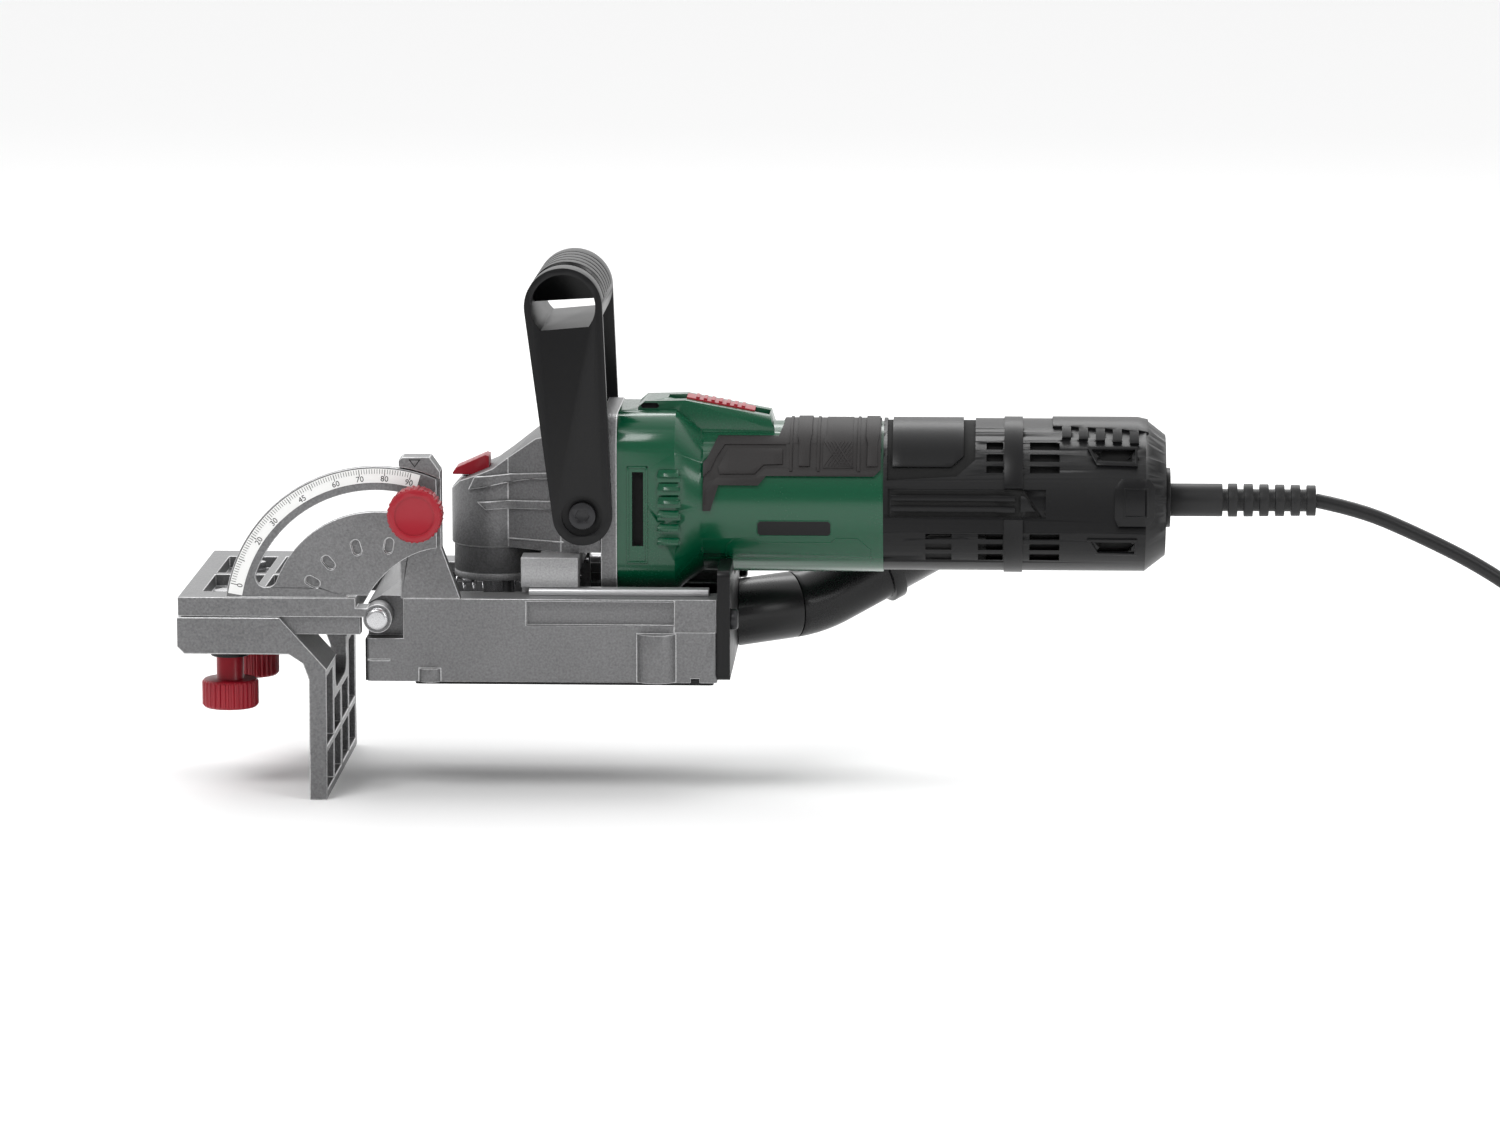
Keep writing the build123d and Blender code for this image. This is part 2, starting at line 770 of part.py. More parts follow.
carriage_holes = [(34.0, -24.0), (34.0, 24.0)]


def under_head_screws():
    """The small screws of the bearing flange and the carriage, put in from below."""
    screws = [rod_z(1.6, 39.0, 42.0, *p) + rod_z(2.6, 37.4, 39.0, *p) for p in flange_holes]
    screws += [rod_z(2.5, 42.5, 46.0, *p) + rod_z(4.4, 40.5, 42.5, *p) for p in carriage_holes]
    return Compound(children=[s.solids()[0] for s in screws])


# ---- motor -----------------------------------------------------------------
box_low = 35.1
box_high = 114.8
box_end = 80.0
taper_end = 92.0


def motor_flange():
    plate = around_x(flange_front, flange_back, head_half, 34.3, box_high, 10.0)
    plate -= rod_x(11.0, flange_front + 1.5, flange_back + 1, 0, motor_axis_z)
    return plate - rod_x(4.6, flange_front - 1, flange_back + 1, 0, motor_axis_z)


screw_places = [(y, z) for y in (-27.0, 27.0) for z in (44.0, 106.0)]


def gear_head_screws():
    screws = [rod_x(2.2, flange_back, flange_back + 9, y, z) for y, z in screw_places]
    return Compound(children=[s.solids()[0] for s in screws])


def housing_body(inset):
    """The outer form of the motor housing, or the same form made smaller."""
    front = around_x(
        flange_back,
        box_end,
        head_half - inset,
        box_low + inset,
        box_high - inset,
        16.0 - inset,
    )
    rect = RectangleRounded(box_high - box_low - 2 * inset, 2 * (head_half - inset), 16.0 - inset)
    first = Pos(box_end, 0, motor_axis_z + 0.05) * Rot(0, 90, 0) * rect
    last = Pos(taper_end, 0, motor_axis_z) * Rot(0, 90, 0) * Circle(barrel_radius - inset)
    return front + loft([first, last])


switch_front = 84.0
switch_slope = 10.74    # degrees, the platform falls towards the cord


def on_slope(shape):
    """Places a shape made along X, with its top at 0, on the switch's slope."""
    return Pos(switch_front, 0, 119.0) * Rot(0, switch_slope, 0) * shape


def motor_housing():
    body = housing_body(0.0) + rod_x(barrel_radius, taper_end - 1, cover_joint_x, 0, motor_axis_z)
    platform = side_prism(
        [
            (62, 105),
            (63, 116),
            (66, 118.6),
            (84, 119.0),
            (120.9, 112.0),
            (122.9, 106.0),
            (122.9, 95),
            (62, 95),
        ],
        -14.0,
        14.0,
    )
    platform = fillet(platform.edges().filter_by(Axis.Y).group_by(Axis.Z)[-1], 2.0)
    body += platform
    inside = housing_body(shell) + rod_x(
        barrel_radius - shell,
        taper_end - 1,
        cover_joint_x + 1,
        0,
        motor_axis_z,
    )
    inside += block(90.0, 117.0, -10.0, 10.0, 95.0, 109.6)
    inside += rod_x(20.0, flange_back - 1, flange_back + 4, 0, motor_axis_z)
    body -= inside
    body -= on_slope(block(-8.0, 37.2, -7.4, 7.4, -2.6, 6.0))
    body -= on_slope(block(8.0, 24.0, -2.6, 2.6, -9.0, 0.0))
    slot = block(61.4, 66.3, -50, -head_half + 8, 57.5, 90.2)
    body -= both_sides(fillet(slot.edges().filter_by(Axis.Y), 2.0))
    for i in range(6):
        z = 58.0 + 5.6 * i
        fin = block(72.6, 82.6, -head_half - 1.3, -head_half + 4, z, z + 3.0)
        body += both_sides(fin)
    body -= [rod_x(2.2, flange_back - 1, flange_back + 9, y, z) for y, z in screw_places]
    body += [
        rod_x(4.6, flange_back, flange_back + 10, y, z) - rod_x(2.2, 0, flange_back + 9, y, z)
        for y, z in screw_places
    ]
    return body


overmold_outline = [
    (84.9, 73.0),
    (95.5, 73.0),
    (99.0, 84.2),
    (116.3, 84.2),
    (119.8, 88.2),
    (167.0, 88.2),
    (169.8, 91.0),
    (169.8, 110.0),
    (128.0, 110.0),
    (125.0, 104.0),
    (98.5, 104.0),
    (93.8, 95.2),
    (84.9, 86.6),
]
overmold_thick = 1.4


def grip_overmold():
    """Two soft patches on the barrel's sides, joined over its top behind the switch."""
    tube = rod_x(barrel_radius + overmold_thick, 92.2, 170.0, 0, motor_axis_z)
    tube -= rod_x(barrel_radius, 90, 172, 0, motor_axis_z)
    patch = tube & side_prism(overmold_outline, -50, 50)
    patch -= block(80, 124.5, -16, 16, 95, 130)
    return patch


def rear_cover():
    body = rod_x(rear_cover_radius, cover_joint_x, cover_end_x, 0, rear_cover_z)
    body = chamfer(body.edges().group_by(Axis.X)[-1], 9.0, 7.0)
    inside = rod_x(barrel_radius - shell, cover_joint_x - 1, cover_end_x - 10, 0, rear_cover_z)
    body -= inside
    upper = [(z0, z1) for z0, z1 in ((99.3, 102.0), (94.6, 97.4), (89.9, 92.7))]
    lower = [(z0, z1) for z0, z1 in ((60.4, 63.0), (55.3, 58.1), (50.1, 53.0))]
    for x0, x1 in ((216.0, 223.4), (235.0, 248.0)):
        for z0, z1 in upper + lower:
            body -= block(x0, x1, -40, 40, z0, z1)
    for z0, z1 in lower:
        body -= both_sides(block(189.5, 201.0, -40, -29.0, z0, z1))
    for z0, z1 in ((95.6, 99.4), (54.8, 58.6)):
        body -= side_prism([(264, z0), (278, z0), (281, z1), (267, z1)], -40, 40)
    recess = rod_x(rear_cover_radius + 1, 174.0, 242.0, 0, rear_cover_z)
    recess -= rod_x(rear_cover_radius - 1.2, 170, 245, 0, rear_cover_z)
    recess &= block(174, 242, -50, 50, 70.3, 83.0)
    recess -= block(223.6, 232.0, -50, 50, 60, 90)
    body -= recess
    body -= rod_x(9.0, cover_end_x - 12, cover_end_x + 1, 0, relief_axis_z)
    return body


def switch_slider():
    plate = on_slope(block(0.0, 30.5, -6.9, 6.9, -2.3, 0.6))
    for i in range(7):
        plate += on_slope(block(4.0 + 3.4 * i, 5.6 + 3.4 * i, -6.0, 6.0, 0.6, 1.4))
    plate += on_slope(block(15.0, 18.0, -2.2, 2.2, -6.2, -2.3))
    return plate


def switch_block():
    return block(93.0, 113.0, -8.0, 8.0, 102.6, 108.2)


stator_front, stator_back = 96.0, 136.0


def stator_core():
    core = rod_x(27.0, stator_front, stator_back, 0, motor_axis_z)
    core += both_sides(block(stator_front, stator_back, -barrel_radius + shell, -24, 71.4, 78.4))
    core &= rod_x(barrel_radius - shell, 90, 140, 0, motor_axis_z)
    return core - rod_x(16.6, 90, 140, 0, motor_axis_z)


def field_windings():
    coils = []
    for x0, x1 in ((stator_front - 9, stator_front), (stator_back, stator_back + 9)):
        ring = rod_x(25.0, x0, x1, 0, motor_axis_z) - rod_x(17.6, x0 - 1, x1 + 1, 0, motor_axis_z)
        ring -= block(x0 - 1, x1 + 1, -30, 30, motor_axis_z - 5, motor_axis_z + 5)
        coils.append(ring)
    return coils[0] + coils[1]


def armature_shaft():
    shaft = rod_x(3.0, 10.9, 50.0, 0, motor_axis_z) + rod_x(3.95, 47.0, 186.0, 0, motor_axis_z)
    return shaft


def rotor_core():
    core = rod_x(16.0, stator_front, stator_back, 0, motor_axis_z)
    slot = rod_x(1.0, stator_front - 1, stator_back + 1, 0, motor_axis_z + 15.3)
    turned = [
        Pos(0, 0, motor_axis_z) * Rot(30 * i, 0, 0) * Pos(0, 0, -motor_axis_z) * slot
        for i in range(12)
    ]
    core -= turned
    return core - rod_x(3.95, 0, 200, 0, motor_axis_z)


def commutator():
    ring = rod_x(11.0, 152.0, 166.0, 0, motor_axis_z)
    return ring - rod_x(3.95, 0, 200, 0, motor_axis_z)


def fan():
    hub = rod_x(9.0, 70.0, 80.0, 0, motor_axis_z)
    disc = rod_x(28.0, 78.0, 80.0, 0, motor_axis_z)
    blade = block(70.0, 78.0, -0.8, 0.8, motor_axis_z + 8.0, motor_axis_z + 27.5)
    wheel = hub + disc
    for i in range(9):
        wheel += Pos(0, 0, motor_axis_z) * Rot(40 * i, 0, 0) * Pos(0, 0, -motor_axis_z) * blade
    return wheel - rod_x(3.95, 0, 200, 0, motor_axis_z)


def armature_bearings():
    front = rod_x(11.0, flange_front + 1.5, flange_back, 0, motor_axis_z)
    back = rod_x(11.0, 178.0, 185.0, 0, motor_axis_z)
    return front + back - rod_x(4.0, 0, 200, 0, motor_axis_z)


def brush_holders():
    bridge = rod_x(barrel_radius - shell, 170.0, 178.0, 0, motor_axis_z)
    bridge &= rod_x(barrel_radius - shell, 160, 180, 0, rear_cover_z)
    bridge += rod_x(13.5, 177.0, 185.0, 0, motor_axis_z)
    bridge -= rod_x(11.0, 178.0, 190, 0, motor_axis_z)
    bridge -= rod_x(8.0, 160, 190, 0, motor_axis_z)
    arm = block(154.0, 172.0, -29.0, -13.0, motor_axis_z - 4, motor_axis_z + 4)
    arm &= rod_x(barrel_radius - shell, 150, 180, 0, motor_axis_z)
    bore = block(155.5, 162.5, -28.0, -10.0, motor_axis_z - 2.5, motor_axis_z + 2.5)
    return bridge + both_sides(arm) - both_sides(bore)


def carbon_brushes():
    brush = block(155.5, 162.5, -22.0, -11.0 - gap, motor_axis_z - 2.5, motor_axis_z + 2.5)
    return both_sides(brush)


def brush_springs():
    coil = spring(1.8, 0.5, 6.0, 5)
    return both_sides(Pos(159.0, -28.0, motor_axis_z) * Rot(-90, 0, 0) * coil)


# ---- handle ----------------------------------------------------------------
recess_radius = 9.0
bolt_head_radius = 5.8


def handle_turn(shape):
    """Stands a shape made round the pivot in its leaning place."""
    return Pos(handle_pivot[0], 0, handle_pivot[1]) * Rot(0, -handle_lean, 0) * shape


def loop_handle():
    tangent = (grip_radius - pivot_end_radius) / handle_length
    a = math.asin(tangent)
    p = pivot_end_radius
    g = grip_radius
    top = handle_length
    flank = [
        (p * math.cos(a), -p * math.sin(a)),
        (g * math.cos(a), top - g * math.sin(a)),
        (-g * math.cos(a), top - g * math.sin(a)),
        (-p * math.cos(a), -p * math.sin(a)),
    ]
    leg = side_prism(flank, -leg_outer, -leg_inner)
    leg += rod_y(p, -leg_outer, -leg_inner, 0, 0) + rod_y(g, -leg_outer, -leg_inner, 0, top)
    leg -= rod_y(stud_radius + run_fit, -60, -20, 0, 0)
    leg -= rod_y(recess_radius, -60, -leg_outer + 2.4, 0, 0)
    grip = rod_y(g, -leg_outer, leg_outer, 0, top) - block(-30, 30, -60, 60, top - 30, top - 12.4)
    hole = rod_y(g - 2.9, -60, 60, 0, top) - block(-30, 30, -60, 60, top - 30, top - 9.4)
    body = both_sides(leg) + grip - hole
    ridge = rod_y(g + 1, 0, 2.0, 0, top) - rod_y(g - 0.9, -1, 3, 0, top)
    ridge &= block(-30, 30, -50, 50, top + 1.0, top + 30)
    body -= [Pos(0, -27.0 + 10.4 * i, 0) * ridge for i in range(6)]
    return handle_turn(body)


def handle_bolts():
    shank = rod_y(stud_radius, -leg_outer + 0.2, -24.0, *handle_pivot)
    head = rod_y(bolt_head_radius, -leg_outer - 0.2, -leg_outer + 2.1, *handle_pivot)
    socket = Pos(handle_pivot[0], -leg_outer + 1.4, handle_pivot[1]) * Rot(90, 0, 0)
    return both_sides(shank + head - socket * extrude(RegularPolygon(3.2, 6), amount=3.0))


# ---- cord ------------------------------------------------------------------
relief_end = 361.0


def cord_gland():
    collar = rod_x(13.1, cover_end_x, cover_end_x + 2.3, 0, relief_axis_z + 1.0)
    neck = rod_x(9.0, cover_end_x - 10, cover_end_x, 0, relief_axis_z)
    return collar + neck - rod_x(5.0, cover_end_x - 11, cover_end_x + 3, 0, relief_axis_z)


def strain_relief():
    boot = rod_x(5.0, cover_end_x - 10, cover_end_x + 2.3, 0, relief_axis_z)
    boot += rod_x(7.25, cover_end_x + 2.3, 320.0, 0, relief_axis_z)
    boot += rod_x(4.9, 320.0, relief_end, 0, relief_axis_z)
    for i in range(6):
        x = 322.5 + 6.9 * i
        boot += rod_x(7.35 - 0.12 * i, x, x + 4.0, 0, relief_axis_z)
    return boot - rod_x(cord_diameter / 2, cover_end_x - 11, relief_end + 1, 0, relief_axis_z)


coil_radius = 36.0
coil_layers = 4
coil_x = 566.0
tie_thick = 0.8
cord_floor = floor_z + tie_thick + cord_diameter / 2
cord_route = [
    (relief_end + 0.8, 0.0, relief_axis_z),
    (380.0, 0.0, 70.2),
    (404.0, -0.4, 60.2),
    (434.0, -1.0, 45.5),
    (461.0, -2.0, 27.0),
    (484.0, -4.0, 3.0),
    (505.0, -7.5, -22.0),
    (529.0, -12.0, -40.0),
    (558.0, -16.0, cord_floor),
]
coil_y = cord_route[-1][1] + coil_radius + 1.5
coil_height = coil_layers * cord_diameter
plug_y = coil_y + coil_radius
plug_z = floor_z + 14.5
plug_back = 514.0
plug_front = 472.0
pin_length = 19.0
pin_spread = 9.5


def cord_path():
    """Straight runs joined by tangent arcs as large as the runs allow."""
    points = [Vector(*p) for p in cord_route]
    radii = []
    for a, b, c in zip(points, points[1:], points[2:]):
        turn = math.radians((b - a).get_angle(c - b))
        radii.append(0.45 * min((b - a).length, (c - b).length) / math.tan(turn / 2))
    print("cord radii", [round(r, 1) for r in radii])
    return FilletPolyline(*points, radius=radii)


def power_cord():
    """The lead from inside the rear cover to where its coil begins."""
    inside = rod_x(cord_diameter / 2, cover_end_x - 18, cord_route[0][0], 0, relief_axis_z)
    path = cord_path()
    section = Plane(origin=path @ 0, z_dir=path % 0) * Circle(cord_diameter / 2)
    tube = sweep(section, path)
    expected = math.pi * cord_diameter**2 / 4 * path.length
    print(
        "cord tube",
        round(path.length, 1),
        "mm, volume",
        round(tube.volume / expected, 4),
        "of section x length",
    )
    return inside + tube - coil_ring(0.0)


def coil_ring(grow):
    """The outer form of the wound lead, or the same form made larger."""
    inner = coil_radius - cord_diameter - grow
    outer = coil_radius + cord_diameter + grow
    low = floor_z + tie_thick - grow
    high = floor_z + tie_thick + coil_height + grow
    return rod_z(outer, low, high, coil_x, coil_y) - rod_z(inner, low - 1, high + 1, coil_x, coil_y)


def cord_tie():
    """A strap round the coil on the side away from the plug."""
    band = coil_ring(tie_thick) - coil_ring(0.0)
    return band & block(coil_x + 10, coil_x + 60, coil_y - 5, coil_y + 5, floor_z - 1, 10)


def mains_plug():
    """A moulded plug with two pins, lying beside the coil."""
    body = rod_x(17.5, plug_front, plug_back, plug_y, plug_z)
    body &= block(plug_front - 1, plug_back + 1, plug_y - 18, plug_y + 18, floor_z, plug_z + 14.5)
    body = chamfer(body.edges().group_by(Axis.X)[-1], 2.5)
    tail = Pos(plug_back + 14, plug_y, plug_z) * Rot(0, 90, 0) * Cone(6.8, 4.6, 30)
    body = body + tail - coil_ring(0.0)
    body -= block(plug_front - 1, plug_front + 3, plug_y - 4, plug_y + 4, plug_z - 12, plug_z - 9)
    for side in (-1, 1):
        pin = rod_x(2.4, plug_front - pin_length, plug_front + 1, plug_y + side * pin_spread, plug_z)
        body += fillet(pin.edges().group_by(Axis.X)[0], 1.5)
    return body


for name, shape in {
    "base_housing": base_housing(),
    "base_plate": base_plate(),
    "base_plate_screws": base_plate_screws(),
    "front_pad": front_pad(),
    "guide_rails": guide_rails(),
    "rear_plate": rear_plate(),
    "rear_plate_screws": rear_plate_screws(),
    "return_springs": return_springs(),
    "hinge_pins": hinge_pins(),
    "pointer_bracket": pointer_bracket(),
    "angle_stud": angle_stud(),
    "angle_washer": angle_washer(),
    "angle_knob": angle_knob(),
    "dust_nozzle": dust_nozzle(),
    "dust_elbow": dust_elbow(),
    "fence_frame": fence_frame(),
    "angle_scale": angle_scale(),
    "height_studs": height_studs(),
    "height_washers": height_washers(),
    "stop_plate": stop_plate(),
    "height_knob_near": height_knob(-1),
    "height_knob_far": height_knob(1),
    "gear_head": gear_head(),
    "spindle_lock_button": lock_button(),
    "spindle_lock_spring": lock_spring(),
    "bearing_flange": bearing_flange(),
    "spindle_bearings": spindle_bearings(),
    "spindle": spindle(),
    "crown_gear": crown_gear(),
    "pinion": pinion(),
    "inner_flange": inner_flange(),
    "cutter": cutter(),
    "flange_nut": flange_nut(),
    "carriage": carriage(),
    "under_head_screws": under_head_screws(),
    "motor_flange": motor_flange(),
    "gear_head_screws": gear_head_screws(),
    "motor_housing": motor_housing(),
    "grip_overmold": grip_overmold(),
    "rear_cover": rear_cover(),
    "switch_slider": switch_slider(),
    "switch_block": switch_block(),
    "stator_core": stator_core(),
    "field_windings": field_windings(),
    "armature_shaft": armature_shaft(),
    "rotor_core": rotor_core(),
    "commutator": commutator(),
    "fan": fan(),
    "armature_bearings": armature_bearings(),
    "brush_holders": brush_holders(),
    "carbon_brushes": carbon_brushes(),
    "brush_springs": brush_springs(),
    "loop_handle": loop_handle(),
    "handle_bolts": handle_bolts(),
    "cord_gland": cord_gland(),
    "strain_relief": strain_relief(),
    "power_cord": power_cord(),
    "cord_coil": coil_ring(0.0),
    "cord_tie": cord_tie(),
    "mains_plug": mains_plug(),
}.items():
    save(name, shape)
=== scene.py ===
"""A biscuit joiner with its fence folded down: finishes, fine relief, lead, light and camera."""

import json
import logging
import math
from dataclasses import dataclass, field
from enum import Enum
from typing import Sequence, Union

import bmesh
import bpy
from mathutils import Matrix, Vector
from mathutils.bvhtree import BVHTree


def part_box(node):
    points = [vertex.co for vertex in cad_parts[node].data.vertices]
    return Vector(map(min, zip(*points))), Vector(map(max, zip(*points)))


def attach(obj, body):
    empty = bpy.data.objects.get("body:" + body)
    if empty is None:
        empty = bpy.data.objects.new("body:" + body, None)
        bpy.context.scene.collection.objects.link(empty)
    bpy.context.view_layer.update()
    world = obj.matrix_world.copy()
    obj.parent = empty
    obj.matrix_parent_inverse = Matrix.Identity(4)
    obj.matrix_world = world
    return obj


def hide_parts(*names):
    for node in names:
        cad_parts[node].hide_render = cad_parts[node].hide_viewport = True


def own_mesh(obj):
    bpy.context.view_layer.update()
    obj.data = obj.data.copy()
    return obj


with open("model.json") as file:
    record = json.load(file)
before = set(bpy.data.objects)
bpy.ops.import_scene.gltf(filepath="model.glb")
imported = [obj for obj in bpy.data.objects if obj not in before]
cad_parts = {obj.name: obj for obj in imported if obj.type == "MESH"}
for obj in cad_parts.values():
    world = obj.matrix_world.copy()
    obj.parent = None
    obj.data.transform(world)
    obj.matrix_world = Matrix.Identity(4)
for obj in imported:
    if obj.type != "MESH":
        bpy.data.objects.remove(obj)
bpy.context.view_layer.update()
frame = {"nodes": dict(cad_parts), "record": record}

MM = 0.001
log = logging.getLogger("joiner")

Point2 = tuple[float, float]
Point3 = tuple[float, float, float]


# ---- shader expressions ------------------------------------------------------------------


class Shade:
    """One shader socket, which takes part in Python sums and products."""

    def __init__(self, bench: "Bench", socket: bpy.types.NodeSocket | None) -> None:
        """Keep the bench and the socket."""
        self.bench = bench
        self.socket = socket

    def _sum(self, operation: str, left: "Value", right: "Value") -> "Shade":
        """Join two values with a Math node.

        Args:
            operation: the Math node's operation.
            left: its first value.
            right: its second value.

        Returns:
            The node's result.
        """
        return self.bench.make("ShaderNodeMath", {"operation": operation}, {0: left, 1: right})

    def __add__(self, other: "Value") -> "Shade":
        """Return self + other."""
        return self._sum("ADD", self, other)

    def __radd__(self, other: "Value") -> "Shade":
        """Return other + self."""
        return self._sum("ADD", other, self)

    def __sub__(self, other: "Value") -> "Shade":
        """Return self - other."""
        return self._sum("SUBTRACT", self, other)

    def __rsub__(self, other: "Value") -> "Shade":
        """Return other - self."""
        return self._sum("SUBTRACT", other, self)

    def __mul__(self, other: "Value") -> "Shade":
        """Return self * other."""
        return self._sum("MULTIPLY", self, other)

    def __rmul__(self, other: "Value") -> "Shade":
        """Return other * self."""
        return self._sum("MULTIPLY", other, self)


Value = Union[Shade, float]


class Bench:
    """One material in the making."""

    def __init__(self, name: str, world: bpy.types.World | None = None) -> None:
        """Start an empty material, or empty a world's nodes.

        Args:
            name: the material's name.
            world: the world, where the nodes are its own.
        """
        self.material = world or bpy.data.materials.new(name)
        self.material.use_nodes = True
        self.tree = self.material.node_tree
        self.tree.nodes.clear()

    def make(
        self, kind: str, settings: dict | None = None, inputs: dict | None = None, out: int | str = 0,
    ) -> Shade:
        """Add a node.

        Args:
            kind: the node's type.
            settings: attributes that are set first.
            inputs: values or links, by socket name or number.
            out: the output that is wanted.

        Returns:
            That output.
        """
        node = self.tree.nodes.new(kind)
        for key, value in (settings or {}).items():
            setattr(node, key, value)
        for key, value in (inputs or {}).items():
            if isinstance(value, Shade):
                self.tree.links.new(value.socket, node.inputs[key])
            else:
                node.inputs[key].default_value = value
        return Shade(self, node.outputs[out] if node.outputs else None)


class Grain(Enum):
    """What a surface is like up close."""

    SMOOTH = "smooth"
    CAST = "cast"
    MILLED = "milled"
    MOULDED = "moulded"
    # Painted shade: the grainless kind used by the near-black vent finish.
    VOID = "painted_shade"


@dataclass(frozen=True)
class Finish:
    """The look of one material."""

    name: str
    colour: Point3
    roughness: float
    metallic: float = 0.0
    coat: float = 0.0
    grain: Grain = Grain.MOULDED
    bump: float = 0.15
    size: float = 0.5
    shine: float = 0.5

    def material(self) -> bpy.types.Material:
        """Build the finish.

        Returns:
            The material, made once and then reused.
        """
        if self.name in bpy.data.materials:
            return bpy.data.materials[self.name]
        bench = Bench(self.name)
        place = bench.make("ShaderNodeTexCoord", out="Object")
        if self.grain is Grain.MILLED:
            place = bench.make("ShaderNodeMapping", {}, {0: place, 3: (0.12, 1.0, 1.6)})
        scale = 1.0 / (self.size * MM)
        fine = bench.make("ShaderNodeTexNoise", {}, {0: place, "Scale": scale, "Detail": 2.0})
        broad = bench.make("ShaderNodeTexNoise", {}, {0: place, "Scale": 26.0, "Detail": 3.0})
        depth = {
            Grain.CAST: 1.0, Grain.MILLED: 0.16, Grain.MOULDED: 0.12, Grain.SMOOTH: 0.03,
        }.get(self.grain, 0.0)
        tone = 1.0 - depth * 0.62 + fine * depth * 0.9 + broad * depth * 0.34
        dark = tuple(channel * 0.35 for channel in self.colour)
        light = tuple(min(1.0, channel * 1.25) for channel in self.colour)
        factor = (tone - 0.35) * (1.0 / 0.9)
        colour = bench.make(
            "ShaderNodeMix",
            {"data_type": "RGBA", "clamp_factor": True},
            {0: factor, 6: (*dark, 1.0), 7: (*light, 1.0)},
            2,
        )
        rough = self.roughness - 0.07 + broad * 0.08 + fine * 0.06
        normal = bench.make(
            "ShaderNodeBump",
            {},
            {"Height": fine, "Strength": self.bump, "Distance": self.size * MM * 0.35},
        )
        surface = bench.make(
            "ShaderNodeBsdfPrincipled",
            {},
            {
                "Base Color": colour,
                "Roughness": rough,
                "Metallic": self.metallic,
                "Coat Weight": self.coat,
                "Coat Roughness": 0.12,
                "Specular IOR Level": self.shine,
                "Normal": normal,
            },
        )
        bench.make("ShaderNodeOutputMaterial", {}, {"Surface": surface})
        return bench.material


CAST = Finish("cast grey", (0.165, 0.165, 0.168), 0.42, 0.55, grain=Grain.CAST, bump=0.6, size=0.95)
# Painted highlight: a lighter copy of the cast grey for the castings' rounded edges, where light catches
# them.
CAST_EDGE_HIGHLIGHT = Finish(
    "cast edge painted highlight", (0.50, 0.50, 0.505), 0.36, 0.6, grain=Grain.CAST, bump=0.3, size=0.95,
)
LIGHT_CAST = Finish(
    "pale casting", (0.34, 0.34, 0.345), 0.40, 0.6, grain=Grain.CAST, bump=0.3, size=0.8,
)
MACHINED = Finish(
    "milled light alloy", (0.60, 0.60, 0.61), 0.32, 0.7, grain=Grain.MILLED, bump=0.08, size=0.5,
)
STEEL = Finish("bright steel", (0.52, 0.52, 0.53), 0.26, 0.95, grain=Grain.SMOOTH, bump=0.05, size=0.4)
BLACK_STEEL = Finish(
    "blackened steel", (0.02, 0.02, 0.022), 0.36, 0.4, grain=Grain.SMOOTH, bump=0.06, size=0.4,
)
LAMINATION = Finish(
    "lamination stack", (0.22, 0.22, 0.24), 0.5, 0.8, grain=Grain.MILLED, bump=0.2, size=0.5,
)
COPPER = Finish("enamelled copper", (0.60, 0.27, 0.12), 0.35, 0.9, grain=Grain.SMOOTH)
CARBON = Finish("carbon block", (0.03, 0.03, 0.03), 0.6)
BLACK = Finish(
    "black moulding", (0.0055, 0.0055, 0.006), 0.36, grain=Grain.MOULDED, bump=0.12, size=0.7,
    shine=0.24,
)
BLACK_GLOSS = Finish(
    "black hose moulding", (0.005, 0.005, 0.0055), 0.28, grain=Grain.SMOOTH, bump=0.03, size=0.7,
    shine=0.3,
)
GREEN = Finish(
    "deep green moulding", (0.0, 0.062, 0.026), 0.26, coat=0.25, grain=Grain.SMOOTH, bump=0.015,
    size=0.9, shine=0.4,
)
RED = Finish(
    "deep red moulding", (0.29, 0.006, 0.016), 0.34, coat=0.1, grain=Grain.SMOOTH, bump=0.04, size=0.8,
    shine=0.35,
)
SOFT = Finish(
    "warm black soft grip", (0.0175, 0.0155, 0.0155), 0.58, grain=Grain.MOULDED, bump=0.2, size=0.6,
    shine=0.3,
)
RUBBER = Finish(
    "black rubber", (0.009, 0.009, 0.0095), 0.5, grain=Grain.MOULDED, bump=0.1, size=0.6, shine=0.35,
)
SHEATH = Finish(
    "lead sheath", (0.007, 0.007, 0.0075), 0.38, grain=Grain.SMOOTH, bump=0.03, size=0.8, shine=0.35,
)
WHITE = Finish("scale enamel", (0.78, 0.78, 0.77), 0.5, grain=Grain.SMOOTH, bump=0.05)
INK = Finish("scale ink", (0.015, 0.015, 0.016), 0.6, grain=Grain.SMOOTH, bump=0.02)
LINE_RED = Finish("red line enamel", (0.50, 0.012, 0.02), 0.45, grain=Grain.SMOOTH, bump=0.03)
# Painted shade: a near-black matt finish for vent and recess walls and for the liners behind the vents,
# standing in for the shade inside them.
VOID = Finish("vent painted shade", (0.0015, 0.0015, 0.0015), 0.9, grain=Grain.VOID, bump=0.0)

SLOT_FINISH = {
    "cast_metal": CAST,
    "light_cast": LIGHT_CAST,
    "machined": MACHINED,
    "steel": STEEL,
    "black_steel": BLACK_STEEL,
    "lamination": LAMINATION,
    "copper": COPPER,
    "carbon": CARBON,
    "black_plastic": BLACK,
    "green_plastic": GREEN,
    "red_plastic": RED,
    "soft_grip": SOFT,
    "black_rubber": RUBBER,
    "cord_sheath": SHEATH,
    "scale_white": WHITE,
}


# ---- mesh helpers ------------------------------------------------------------------------


